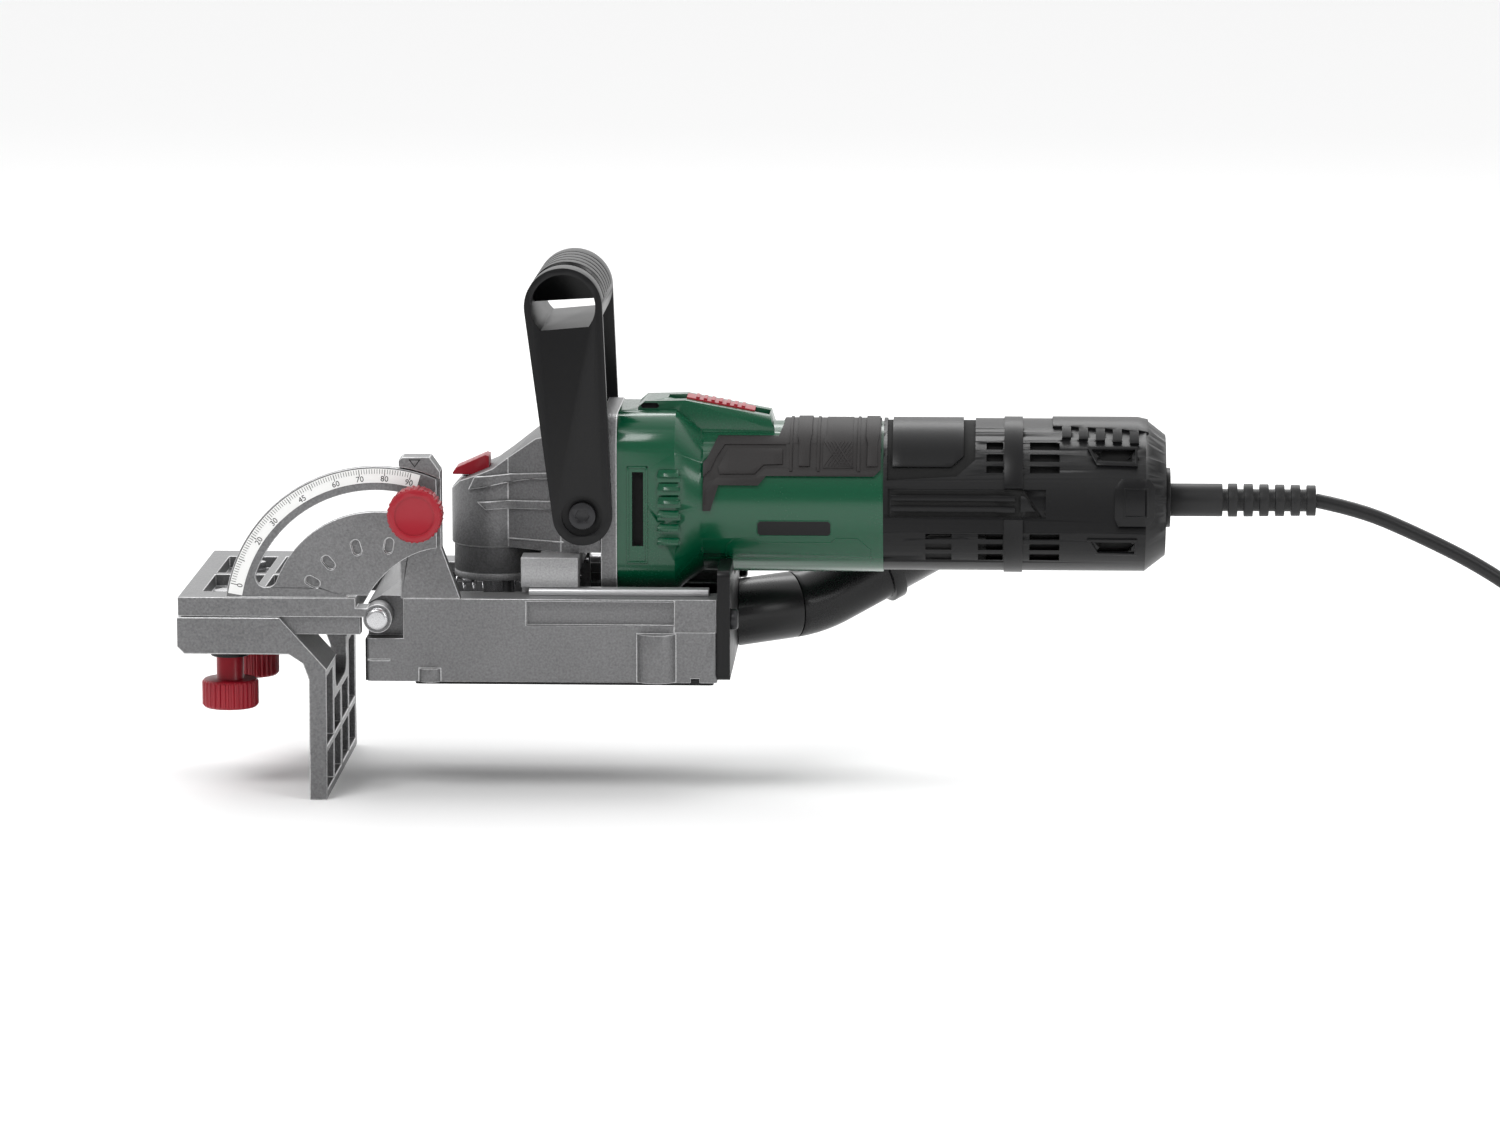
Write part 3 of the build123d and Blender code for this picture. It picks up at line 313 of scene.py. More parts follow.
def keep(name: str, mesh: bpy.types.Mesh, *materials: bpy.types.Material) -> bpy.types.Object:
    """Put a mesh in the scene as an object at the origin.

    Args:
        name: the object's name.
        mesh: its mesh, in metres in the row frame.
        materials: its materials, in slot order.

    Returns:
        The new object.
    """
    mesh.name = name
    piece = bpy.data.objects.new(name, mesh)
    bpy.context.scene.collection.objects.link(piece)
    if materials:
        mesh.materials.clear()
        for material in materials:
            mesh.materials.append(material)
    return piece


def settle(piece: bpy.types.Object, angle: float = 32.0) -> bpy.types.Object:
    """Turn an object's modifiers into plain mesh and smooth all but its sharp edges.

    Args:
        piece: the object.
        angle: edges over this many degrees stay sharp.

    Returns:
        The same object.
    """
    graph = bpy.context.evaluated_depsgraph_get()
    graph.update()
    mesh = bpy.data.meshes.new_from_object(piece.evaluated_get(graph))
    piece.modifiers.clear()
    piece.data = mesh
    mesh.name = piece.name
    mesh.shade_smooth()
    mesh.set_sharp_from_angle(angle=math.radians(angle))
    return piece


def bevel(
    piece: bpy.types.Object, width: float, segments: int = 2, angle: float = 30.0, slot: int = -1,
) -> None:
    """Round an object's edges.

    Args:
        piece: the object.
        width: the bevel's width in millimetres.
        segments: its number of steps.
        angle: edges under this many degrees are left.
        slot: the material slot of the rounded edges, or -1 for their neighbours' one.
    """
    round_off = piece.modifiers.new("edges", "BEVEL")
    round_off.width = width * MM
    round_off.segments = segments
    round_off.limit_method = "ANGLE"
    round_off.angle_limit = math.radians(angle)
    round_off.use_clamp_overlap = slot < 0
    round_off.material = slot


def flatten(piece: bpy.types.Object, plane: float = 0.8, sharp: float = 32.0) -> None:
    """Shade an object's plane faces flat, so that the rounded edges bend no light over them.

    Args:
        piece: the object, with its own faces in slot 0 and its rounded edges in slot 1.
        plane: faces that meet at less than this many degrees lie in one plane.
        sharp: edges over this many degrees are sharp, not part of a curve.
    """
    shape = bmesh.new()
    shape.from_mesh(piece.data)
    low, high = math.radians(plane), math.radians(sharp)
    for face in shape.faces:
        around = [other for edge in face.edges for other in edge.link_faces if other is not face]
        curved = any(
            other.material_index == 0 and low < face.normal.angle(
                other.normal, 0.0,
            ) < high for other in around
        )
        face.smooth = curved or face.material_index == 1
    shape.to_mesh(piece.data)
    shape.free()


def merged(node: str, split: bool = False) -> bpy.types.Mesh:
    """Copy a node's mesh with its loose triangles joined into clean faces.

    Args:
        node: the node's name.
        split: cut faces of many corners up again, for a bevel that isn't clamped.

    Returns:
        The copy.
    """
    shape = bmesh.new()
    shape.from_mesh(frame["nodes"][node].data)
    bmesh.ops.remove_doubles(shape, verts=shape.verts, dist=2e-6)
    bmesh.ops.dissolve_limit(shape, angle_limit=math.radians(0.8), verts=shape.verts, edges=shape.edges)
    if split:
        bmesh.ops.triangulate(shape, faces=[face for face in shape.faces if len(face.verts) > 4])
    mesh = bpy.data.meshes.new(node)
    shape.to_mesh(mesh)
    shape.free()
    return mesh


def surface_tree(*nodes: str) -> BVHTree:
    """Gather some nodes' surfaces for ray casting.

    Args:
        nodes: the nodes' names.

    Returns:
        One search tree over them all.
    """
    corners: list[Vector] = []
    faces: list[tuple[int, ...]] = []
    for node in nodes:
        mesh = frame["nodes"][node].data
        start = len(corners)
        corners += [vertex.co.copy() for vertex in mesh.vertices]
        faces += [tuple(start + index for index in polygon.vertices) for polygon in mesh.polygons]
    return BVHTree.FromPolygons(corners, faces)


class Wrap(Enum):
    """How a flat outline is laid on a casing."""

    SIDE = "across the side, as seen from the side, then square to the casing"
    FLAT = "straight across, as seen from the side"
    ROUND = "round the casing, in degrees from the near side upward"


@dataclass
class Casing:
    """A casing's surface that raised and sunk details are laid on."""

    nodes: tuple[str, ...]
    axis_z: float
    radius: float
    raised: bmesh.types.BMesh = field(default_factory=bmesh.new)
    sunk: bmesh.types.BMesh = field(default_factory=bmesh.new)
    tree: BVHTree | None = None

    def angle(self, z: float) -> float:
        """Return the angle in degrees at which the casing's side has the height z in millimetres."""
        return math.degrees(math.asin(max(-1.0, min(1.0, (z - self.axis_z) / self.radius))))

    def _ray(self, u: float, v: float, wrap: Wrap) -> tuple[Vector, Vector]:
        """Find where a detail's point meets the casing.

        Args:
            u: the place along the casing, in millimetres.
            v: the height in millimetres, or the angle in degrees.
            wrap: how the outline is laid.

        Returns:
            The point on the surface and the outward direction.
        """
        if wrap is Wrap.FLAT:
            out = Vector((0.0, -1.0, 0.0))
            start = Vector((u * MM, -0.12, v * MM))
        else:
            turn = math.radians(v if wrap is Wrap.ROUND else self.angle(v))
            out = Vector((0.0, -math.cos(turn), math.sin(turn)))
            start = Vector((u * MM, 0.0, self.axis_z * MM)) + out * 0.12
        place, _, _, _ = self.tree.ray_cast(start, -out, 0.12)
        if place is None:
            place = start - out * (0.12 - self.radius * MM)
        return place, out

    def slab(
        self,
        outline: Sequence[Point2],
        top: float,
        bottom: float,
        wrap: Wrap = Wrap.SIDE,
        cut: bool = False,
        both: bool = True,
        step: float = 2.4,
    ) -> None:
        """Lay a closed slab on the casing.

        Args:
            outline: its corners, as (x, height) or (x, angle).
            top: how far its top stands over the surface, in millimetres.
            bottom: how far its bottom lies under the surface, in millimetres.
            wrap: how the outline is laid.
            cut: whether the slab is cut away rather than added.
            both: whether it is repeated on the far side.
            step: the largest distance between its lines.
        """
        if self.tree is None:
            self.tree = surface_tree(*self.nodes)
        flat = bmesh.new()
        flat.faces.new([flat.verts.new((u, 0.0, v)) for u, v in outline])
        for axis, pitch in ((0, step * 2.0), (2, step * (1.6 if wrap is Wrap.ROUND else 1.0))):
            values = [corner[axis // 2] for corner in outline]
            count = max(1, math.ceil((max(values) - min(values)) / pitch))
            for index in range(1, count):
                level = min(values) + (max(values) - min(values)) * index / count
                place = [0.0, 0.0, 0.0]
                normal = [0.0, 0.0, 0.0]
                place[axis] = level
                normal[axis] = 1.0
                geometry = flat.verts[:] + flat.edges[:] + flat.faces[:]
                bmesh.ops.bisect_plane(flat, geom=geometry, dist=1e-5, plane_co=place, plane_no=normal)
        flat.verts.index_update()
        hits = [self._ray(vertex.co.x, vertex.co.z, wrap) for vertex in flat.verts]
        target = self.sunk if cut else self.raised
        for side in (1.0, -1.0) if both else (1.0,):
            flip = Vector((1.0, side, 1.0))
            upper = [target.verts.new((place + out * top * MM) * flip) for place, out in hits]
            lower = [target.verts.new((place - out * bottom * MM) * flip) for place, out in hits]
            made = []
            for face in flat.faces:
                ring = [vertex.index for vertex in face.verts]
                made.append(target.faces.new([upper[index] for index in ring]))
                made.append(target.faces.new([lower[index] for index in reversed(ring)]))
            for edge in flat.edges:
                if len(edge.link_faces) == 1:
                    a, b = (vertex.index for vertex in edge.verts)
                    made.append(target.faces.new([upper[a], upper[b], lower[b], lower[a]]))
            bmesh.ops.recalc_face_normals(target, faces=made)
        flat.free()

    def box(
        self, x0: float, x1: float, v0: float, v1: float, top: float, bottom: float,
        wrap: Wrap = Wrap.SIDE, cut: bool = False,
    ) -> None:
        """Lay a four-sided slab; its sizes are those of slab."""
        self.slab([(x0, v0), (x1, v0), (x1, v1), (x0, v1)], top, bottom, wrap, cut)

    def line(
        self,
        points: Sequence[Point2],
        width: float,
        top: float,
        bottom: float = 0.4,
        wrap: Wrap = Wrap.SIDE,
        both: bool = True,
    ) -> None:
        """Lay a raised line.

        Args:
            points: the line's corners.
            width: its width in millimetres.
            top: how far it stands over the surface.
            bottom: how far it reaches under it.
            wrap: how it is laid.
            both: whether it is repeated on the far side.
        """
        for (u0, v0), (u1, v1) in zip(points, points[1:]):
            along = Vector((u1 - u0, v1 - v0)).normalized() * width / 2.0
            across = Vector((-along.y, along.x))
            first = Vector((u0, v0)) - along
            last = Vector((u1, v1)) + along
            corners = [first - across, last - across, last + across, first + across]
            self.slab([(corner.x, corner.y) for corner in corners], top, bottom, wrap, both=both)

    def over_top(self, outline: Sequence[Point2], top: float, bottom: float, cut: bool = False) -> None:
        """Lay a slab over the casing's top from one side to the other.

        Args:
            outline: the near half's open line as (x, height), from front to rear or the other way.
            top: how far it stands over the surface.
            bottom: how far it reaches under it.
            cut: whether it is cut away.
        """
        near = [(x, self.angle(z)) for x, z in outline]
        far = [(x, 180.0 - angle) for x, angle in reversed(near)]
        self.slab(near + far, top, bottom, Wrap.ROUND, cut, both=False)


def mesh_of(shape: bmesh.types.BMesh, name: str) -> bpy.types.Mesh:
    """Turn a bmesh into a mesh and free it.

    Args:
        shape: the bmesh.
        name: the mesh's name.

    Returns:
        The mesh.
    """
    mesh = bpy.data.meshes.new(name)
    shape.to_mesh(mesh)
    shape.free()
    return mesh


def carve(piece: bpy.types.Object, tool: bpy.types.Mesh, dark: bpy.types.Material) -> None:
    """Cut a tool's slabs out of a piece; its walls take the given material, near-black painted shade on
    the hard casings.

    Args:
        piece: the piece.
        tool: the closed slabs.
        dark: the material of the cut walls, near-black painted shade or the soft grip's own finish.
    """
    tool.materials.append(dark)
    cutter = bpy.data.objects.new("tool", tool)
    bpy.context.scene.collection.objects.link(cutter)
    cut = piece.modifiers.new("cut", "BOOLEAN")
    cut.operation = "DIFFERENCE"
    cut.solver = "EXACT"
    cut.material_mode = "TRANSFER"
    cut.use_self = True
    cut.object = cutter
    before = len(piece.data.polygons)
    settle(piece)
    log.info("%s cut: %d faces to %d", piece.name, before, len(piece.data.polygons))
    bpy.data.objects.remove(cutter)


# ---- repeated things ---------------------------------------------------------------------


class ArcArray:
    """Blocks set round an arc by one Geometry Nodes tree."""

    def __init__(self) -> None:
        """Build the tree."""
        tree = bpy.data.node_groups.new("blocks round an arc", "GeometryNodeTree")
        self.tree = tree
        self.inputs: dict[str, str] = {}
        for name, kind in (
            ("Count", "NodeSocketInt"),
            ("Radius", "NodeSocketFloat"),
            ("Start", "NodeSocketFloat"),
            ("Step", "NodeSocketFloat"),
            ("Block", "NodeSocketVector"),
            ("Centre", "NodeSocketVector"),
            ("Turn", "NodeSocketVector"),
            ("Material", "NodeSocketMaterial"),
        ):
            item = tree.interface.new_socket(name=name, in_out="INPUT", socket_type=kind)
            self.inputs[name] = item.identifier
        tree.interface.new_socket(name="Geometry", in_out="OUTPUT", socket_type="NodeSocketGeometry")
        entry = tree.nodes.new("NodeGroupInput").outputs

        def add(kind: str, settings: dict, links: dict) -> bpy.types.Node:
            """Add a node with its settings and its linked or fixed inputs."""
            node = tree.nodes.new(kind)
            for key, value in settings.items():
                setattr(node, key, value)
            for key, value in links.items():
                if isinstance(value, bpy.types.NodeSocket):
                    tree.links.new(value, node.inputs[key])
                else:
                    node.inputs[key].default_value = value
            return node

        index = add("GeometryNodeInputIndex", {}, {}).outputs[0]
        run = add("ShaderNodeMath", {"operation": "MULTIPLY"}, {0: index, 1: entry["Step"]}).outputs[0]
        turn = add("ShaderNodeMath", {"operation": "ADD"}, {0: run, 1: entry["Start"]}).outputs[0]
        spin = add("ShaderNodeCombineXYZ", {}, {"Z": turn}).outputs[0]
        arm = add("ShaderNodeCombineXYZ", {}, {"X": entry["Radius"]}).outputs[0]
        place = add(
            "ShaderNodeVectorRotate", {"rotation_type": "EULER_XYZ"}, {"Vector": arm, "Rotation": spin},
        )
        points = add("GeometryNodePoints", {}, {"Count": entry["Count"], "Position": place.outputs[0]})
        block = add("GeometryNodeMeshCube", {}, {"Size": entry["Block"]})
        spread = add(
            "GeometryNodeInstanceOnPoints",
            {},
            {"Points": points.outputs[0], "Instance": block.outputs[0], "Rotation": spin},
        )
        moved = add(
            "GeometryNodeTransform",
            {},
            {"Geometry": spread.outputs[0], "Translation": entry["Centre"], "Rotation": entry["Turn"]},
        )
        real = add("GeometryNodeRealizeInstances", {}, {"Geometry": moved.outputs[0]})
        dressed = add(
            "GeometryNodeSetMaterial", {}, {"Geometry": real.outputs[0], "Material": entry["Material"]},
        )
        leave = tree.nodes.new("NodeGroupOutput")
        tree.links.new(dressed.outputs[0], leave.inputs[0])

    def make(
        self,
        name: str,
        finish: Finish,
        count: int,
        radius: float,
        start: float,
        step: float,
        block: Point3,
        centre: Point3,
        turn: Point3 = (0.0, 0.0, 0.0),
        soft: float = 0.0,
    ) -> bpy.types.Object:
        """Set blocks round an arc.

        Args:
            name: the piece's name.
            finish: its finish.
            count: how many blocks.
            radius: the arc's radius in millimetres.
            start: the first block's angle in degrees.
            step: the angle from one to the next in degrees.
            block: a block's size in millimetres: outward, round, and along the arc's axis.
            centre: the arc's centre in millimetres.
            turn: the arc's turn from lying flat, in degrees.
            soft: the width of its rounded edges.

        Returns:
            The plain mesh piece.
        """
        piece = keep(name, bpy.data.meshes.new(name), finish.material())
        blocks = piece.modifiers.new("blocks", "NODES")
        blocks.node_group = self.tree
        values = {
            "Count": count,
            "Radius": radius * MM,
            "Start": math.radians(start),
            "Step": math.radians(step),
            "Block": [size * MM for size in block],
            "Centre": [place * MM for place in centre],
            "Turn": [math.radians(angle) for angle in turn],
            "Material": finish.material(),
        }
        for key, value in values.items():
            blocks[self.inputs[key]] = value
        if soft:
            bevel(piece, soft, 1)
        return settle(piece)


# ---- sub-assemblies ----------------------------------------------------------------------


@dataclass
class Hardware:
    """The pieces that keep their own shape and get rounded edges and a finish."""

    slots: dict[str, str]
    bodies: dict[str, str]
    soft_edge: float = 0.35
    own_edges: dict[str, float] = field(
        default_factory=lambda: {
            "loop_handle": 1.1,
            "base_housing": 0.25,
            "fence_frame": 0.3,
            "stop_plate": 0.45,
            "gear_head": 0.35,
            "motor_flange": 0.45,
            "motor_housing": 0.8,
            "rear_cover": 0.6,
            "grip_overmold": 0.45,
            "dust_nozzle": 0.6,
            "dust_elbow": 0.5,
            "height_knob_near": 0.3,
            "height_knob_far": 0.3,
            "angle_knob": 0.3,
            "mains_plug": 0.8,
            "angle_scale": 0.05,
            "strain_relief": 0.3,
            "switch_slider": 0.5,
        }
    )
    inner: tuple[str, ...] = (
        "return_springs",
        "spindle_lock_spring",
        "spindle_bearings",
        "crown_gear",
        "pinion",
        "inner_flange",
        "stator_core",
        "field_windings",
        "armature_shaft",
        "rotor_core",
        "commutator",
        "fan",
        "armature_bearings",
        "brush_holders",
        "carbon_brushes",
        "brush_springs",
        "switch_block",
        "spindle",
    )
    gloss: tuple[str, ...] = ("dust_nozzle", "dust_elbow")

    def finish(self, node: str) -> Finish:
        """Return a node's finish."""
        return BLACK_GLOSS if node in self.gloss else SLOT_FINISH[self.slots[node]]

    def dress(self, node: str) -> None:
        """Give a node that keeps its own mesh its finish.

        Args:
            node: the node's name.
        """
        thing = frame["nodes"][node]
        material = self.finish(node).material()
        if not thing.material_slots:
            thing.data.materials.append(material)
        for slot in thing.material_slots:
            slot.material = material

    def soften(self, node: str) -> bpy.types.Object:
        """Stand a round-edged copy in a node's place.

        Args:
            node: the node's name.

        Returns:
            The copy.
        """
        finish = self.finish(node)
        piece = keep(
            "fine_" + node, merged(node, split=finish in (CAST, LIGHT_CAST)), finish.material(),
        )
        # Cast pieces carry the painted-highlight copy in slot 1, which the bevel lays on their rounded
        # edges.
        if finish is CAST:
            piece.data.materials.append(CAST_EDGE_HIGHLIGHT.material())
        bevel(piece, self.own_edges.get(node, self.soft_edge), slot=1 if finish is CAST else -1)
        settle(piece)
        if finish is CAST:
            flatten(piece)
        return self.place(piece, node)

    def place(self, piece: bpy.types.Object, node: str) -> bpy.types.Object:
        """Let a piece stand for a node and ride on its body.

        Args:
            piece: the piece.
            node: the node's name.

        Returns:
            The same piece.
        """
        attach(piece, self.bodies[node])
        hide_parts(node)
        return piece

    def add(self, piece: bpy.types.Object, body: str, slot: str) -> None:
        """Let an extra piece ride on a body.

        Args:
            piece: the piece.
            body: the body's name.
            slot: the record's material slot it belongs to; not used.
        """
        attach(piece, body)
        log.info("%s rides on %s", piece.name, body)


@dataclass
class Springs:
    """The return springs and the lock button's spring, as round-edged copies with their own meshes."""

    hardware: Hardware

    def shorten(self, node: str, axis: int, anchor: float) -> None:
        """Stand a round-edged copy with its own mesh in a spring's place.

        Args:
            node: the spring's node.
            axis: the spring's axis, 0 to 2; not used, as the point it sets is unused.
            anchor: the place of its fixed end on that axis, in metres; not used, as the point it sets is
                unused.
        """
        low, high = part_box(node)
        point = [(a + b) / 2.0 for a, b in zip(low, high)]
        point[axis] = anchor
        piece = self.hardware.soften(node)
        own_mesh(piece)

    def build(self) -> None:
        """Make the return springs and the lock button's spring."""
        self.shorten("return_springs", 0, -0.036)
        self.shorten("spindle_lock_spring", 2, 0.08205)


@dataclass
class Motor:
    """The motor casing: green housing, soft grip and rear cover with their relief."""

    hardware: Hardware
    axis_z: float = 74.9
    housing_radius: float = 33.3
    grip_radius: float = 34.7
    cover_z: float = 76.1
    cover_radius: float = 33.6
    vent_depth: float = 2.3
    # Painted shade: sizes of the near-black liners inside the casings, which stand for the shade seen
    # through the vents.
    liner_radius: float = 30.0
    liner_thick: float = 0.4
    liner_ends: Point2 = (182.0, 284.0)
    liner_steps: int = 72
    side_liner: Point3 = (64.0, 32.6, 73.8)
    side_liner_size: Point3 = (9.0, 0.3, 36.0)

    def carved(self, node: str, casing: Casing, finish: Finish, relief_edge: float = 0.3) -> None:
        """Make a casing with its cut and raised details.

        Args:
            node: the node that it stands for.
            casing: the details.
            finish: the casing's finish.
            relief_edge: the width of the raised details' rounded edges.
        """
        piece = keep("fine_" + node, merged(node), finish.material())
        # The cut walls of the housing and the cover get painted shade; the soft grip's cut walls keep
        # its own finish.
        carve(
            piece, mesh_of(casing.sunk, "tool"),
            VOID.material() if finish is not SOFT else SOFT.material(),
        )
        bevel(piece, 0.35, 2, 32.0)
        settle(piece)
        self.hardware.place(piece, node)
        relief = keep(node + "_relief", mesh_of(casing.raised, node + "_relief"), finish.material())
        bevel(relief, relief_edge, 2, 40.0)
        settle(relief)
        self.hardware.add(relief, "power_head", self.hardware.slots[node])

    def housing(self) -> None:
        """Make the green housing with its vent, fins and fine lines."""
        casing = Casing(("motor_housing",), self.axis_z, self.housing_radius)
        casing.box(61.4, 66.3, 57.5, 90.2, 2.0, self.vent_depth, Wrap.FLAT, True)
        casing.line(
            [(59.6, 92.4), (59.6, 50.4), (67.8, 50.4), (67.8, 92.4), (59.6, 92.4)], 0.9, 0.55, 0.6,
            Wrap.FLAT,
        )
        for index in range(6):
            z = 58.4 + 6.0 * index
            casing.slab([(72.2, z), (81.9, z), (81.9, z + 3.0), (73.2, z + 3.0)], 1.1, 1.4, Wrap.FLAT)
        oval = [
            (64.8, 115.5), (71.2, 115.5), (72.4, 116.3), (71.4, 117.8), (65.4, 117.8), (64.0, 116.6),
        ]
        casing.slab(oval, 1.0, 1.3, Wrap.FLAT, True)
        outline = [
            (102.2, 46.5), (102.2, 56.7), (105.8, 60.4), (114.7, 60.4), (117.1, 58.3), (148.0, 58.3),
            (150.4, 60.4),
        ]
        casing.line(outline + [(159.9, 60.4), (165.6, 54.9), (165.6, 46.5)], 0.4, 0.22)
        plate = [
            (116.9, 61.6), (147.2, 61.6), (148.2, 62.6), (148.2, 67.6), (147.2, 68.6), (116.9, 68.6),
            (115.9, 67.6), (115.9, 62.6),
        ]
        casing.line(plate + plate[:1], 0.4, 0.25)
        self.carved("motor_housing", casing, GREEN, 0.25)
        label = Casing(("motor_housing",), self.axis_z, self.housing_radius)
        label.slab([(x * 0.985 + 1.98, z * 0.90 + 6.5) for x, z in plate], 0.12, 0.4)
        blank = keep("blank_plate", mesh_of(label.raised, "blank_plate"), BLACK.material())
        label.sunk.free()
        self.hardware.add(settle(blank), "power_head", "black_plastic")

    def grip(self) -> None:
        """Make the soft grip with its panels, pads and cross-cut patch."""
        casing = Casing(("grip_overmold", "motor_housing"), self.axis_z, self.grip_radius)
        panel = [
            (101.5, 101.0), (128.4, 101.0), (128.7, 91.7), (119.4, 91.4), (115.6, 87.6), (97.8, 87.4),
        ]
        casing.slab(
            panel + [(93.6, 81.6), (93.0, 76.1), (88.1, 75.8), (88.3, 84.0), (95.5, 90.9), (97.7, 95.6)],
            2.0, 0.55, cut=True,
        )
        inner = [
            (103.2, 99.4), (126.8, 99.4), (127.0, 93.2), (118.6, 92.9), (114.8, 89.2), (99.4, 89.0),
            (98.8, 92.0),
        ]
        casing.slab(inner, 0.05, 0.9)
        for x0, x1 in ((133.4, 138.8), (163.4, 168.4)):
            pad = [
                (x0, 103.5), (x0 + 0.7, 101.0), (x0 + 0.5, 92.2), (x1, 92.2), (x1, 101.0),
                (x1 + 0.8, 104.5),
            ]
            casing.over_top(pad, 0.8, 0.5)
        for x in (130.0, 142.0, 159.6):
            casing.over_top([(x, 90.2), (x + 1.2, 90.2)], 0.55, 0.5)
        casing.over_top(
            [(146.0, 104.5), (144.6, 101.5), (144.6, 91.6), (157.6, 91.6), (157.6, 104.5)], 0.35, 0.5,
        )
        for index in range(9):
            start = 145.2 + index * 1.55
            end = min(start + 7.0, 157.2)
            rise = end - start
            casing.line([(start, 92.4), (end, 92.4 + rise * 1.35)], 0.35, 0.62, 0.1)
            casing.line([(end, 92.4), (start, 92.4 + rise * 1.35)], 0.35, 0.62, 0.1)
        self.carved("grip_overmold", casing, SOFT, 0.3)

    def cover(self) -> None:
        """Make the rear cover with its vents, pad, channel, band and teeth."""
        casing = Casing(("rear_cover",), self.cover_z, self.cover_radius)
        for z0, z1 in ((99.5, 102.2), (94.8, 97.6), (89.9, 92.8)):
            casing.box(216.6, 223.0, z0, z1, 3.0, self.vent_depth, cut=True)
            casing.slab(
                [(235.0, z0), (247.8, z0), (247.8, z1 - 0.8), (246.9, z1), (235.0, z1)], 3.0,
                self.vent_depth, cut=True,
            )
        for z0, z1 in ((60.6, 63.0), (55.2, 58.2), (50.0, 53.2)):
            casing.box(212.5, 223.0, z0, z1, 3.0, self.vent_depth, cut=True)
            casing.box(235.2, 248.1, z0, z1, 3.0, self.vent_depth, cut=True)
            casing.box(189.5, 200.9, z0, z1, 3.0, 1.0, cut=True)
        for z0, z1 in ((94.6, 98.6), (55.0, 59.2)):
            slot = [(266.4, z0 + 0.6), (279.6, z0 + 0.2), (279.6, z1), (263.4, z1)]
            casing.slab(slot, 3.0, self.vent_depth, cut=True)
            frame_line = [
                (264.6, z0 - 0.9), (281.4, z0 - 1.3), (281.4, z1 + 1.3), (260.8, z1 + 1.3),
                (264.6, z0 - 0.9),
            ]
            casing.line(frame_line, 1.1, 0.7, 0.5)
        casing.over_top([(172.6, 86.6), (203.0, 88.4), (211.2, 95.2), (211.2, 104.0)], 3.0, 0.9, True)
        casing.over_top([(175.0, 92.2), (200.6, 92.2), (206.0, 96.6), (206.0, 104.0)], 0.35, 1.3)
        casing.slab([(173.0, 70.3), (240.6, 70.3), (232.6, 83.0), (173.0, 83.0)], 3.0, 0.8, cut=True)
        for z in (72.9, 77.9):
            casing.box(174.2, 228.6, z, z + 2.4, 0.15, 1.2)
        casing.slab([(231.0, 73.2), (237.4, 73.2), (232.8, 80.2), (231.0, 80.2)], 0.5, 1.2)
        for low, high in (
            (-90.0, self.cover_angle(70.0)), (self.cover_angle(83.4), 180.0 - self.cover_angle(83.4)),
            (180.0 - self.cover_angle(70.0), 270.0),
        ):
            casing.slab(
                [(223.8, low), (232.0, low), (232.0, high), (223.8, high)], 0.8, 0.5, Wrap.ROUND,
                both=False,
            )
        teeth = [(245.0, 107.4)]
        for index in range(5):
            x = 249.0 + 7.4 * index
            teeth += [
                (x, 107.4 - 0.3 * index), (x, 103.6 - 0.5 * index), (x + 4.0, 103.6 - 0.5 * index),
                (x + 4.0, 107.4 - 0.3 * index),
            ]
        teeth += [(287.0, 106.0)]
        casing.over_top(teeth, 0.9, 0.5)
        casing.slab(
            [
                (273.6, 67.1), (287.4, 67.1), (289.6, 70.0), (289.6, 84.8),
                (287.4, 87.7), (275.0, 87.7), (272.0, 83.6), (272.0, 70.6),
            ],
            0.6, 0.5,
        )
        casing.line(
            [(276.4, 71.4), (286.2, 71.4), (286.2, 83.4), (276.4, 83.4), (276.4, 71.4)], 0.7, 1.0, 0.2,
        )
        self.carved("rear_cover", casing, BLACK, 0.3)

    def cover_angle(self, z: float) -> float:
        """Return the rear cover's angle in degrees at the height z."""
        return math.degrees(math.asin((z - self.cover_z) / self.cover_radius))

    def liners(self) -> None:
        """Painted shade: near-black liners inside the casings close the view through the vents and stand
        for the shade behind them.
        """
        shape = bmesh.new()
        rings = []
        for x in self.liner_ends:
            for reach in (self.liner_radius, self.liner_radius + self.liner_thick):
                ring = []
                for index in range(self.liner_steps):
                    turn = 2.0 * math.pi * index / self.liner_steps
                    place = (x, reach * math.cos(turn), self.cover_z + reach * math.sin(turn))
                    ring.append(shape.verts.new([value * MM for value in place]))
                rings.append(ring)
        inner0, outer0, inner1, outer1 = rings
        for a, b in ((outer0, outer1), (inner1, inner0), (inner0, outer0), (outer1, inner1)):
            for index in range(self.liner_steps):
                after = (index + 1) % self.liner_steps
                shape.faces.new([a[index], a[after], b[after], b[index]])
        for side in (-1.0, 1.0):
            size = Matrix.Diagonal((*[value * MM for value in self.side_liner_size], 1.0))
            x, y, z = self.side_liner
            place = Matrix.Translation((x * MM, side * y * MM, z * MM))
            bmesh.ops.create_cube(shape, size=1.0, matrix=place @ size)
        bmesh.ops.recalc_face_normals(shape, faces=shape.faces)
        # The liners carry the painted-shade finish.
        piece = keep("vent_shade_liners", mesh_of(shape, "vent_shade_liners"), VOID.material())
        self.hardware.add(piece, "power_head", "black_plastic")

    def pointer_mark(self) -> None:
        """Mark the pointer tab with a small hollow triangle."""
        casing = Casing(("pointer_bracket",), self.axis_z, self.housing_radius)
        corners = [(-33.2, 99.2), (-28.8, 99.2), (-31.0, 96.2), (-33.2, 99.2)]
        for first, last in zip(corners, corners[1:]):
            casing.line([first, last], 0.45, 0.08, 0.2, Wrap.FLAT, False)
        casing.sunk.free()
        piece = keep("pointer_mark", mesh_of(casing.raised, "pointer_mark"), INK.material())
        self.hardware.add(piece, "base", "cast_metal")

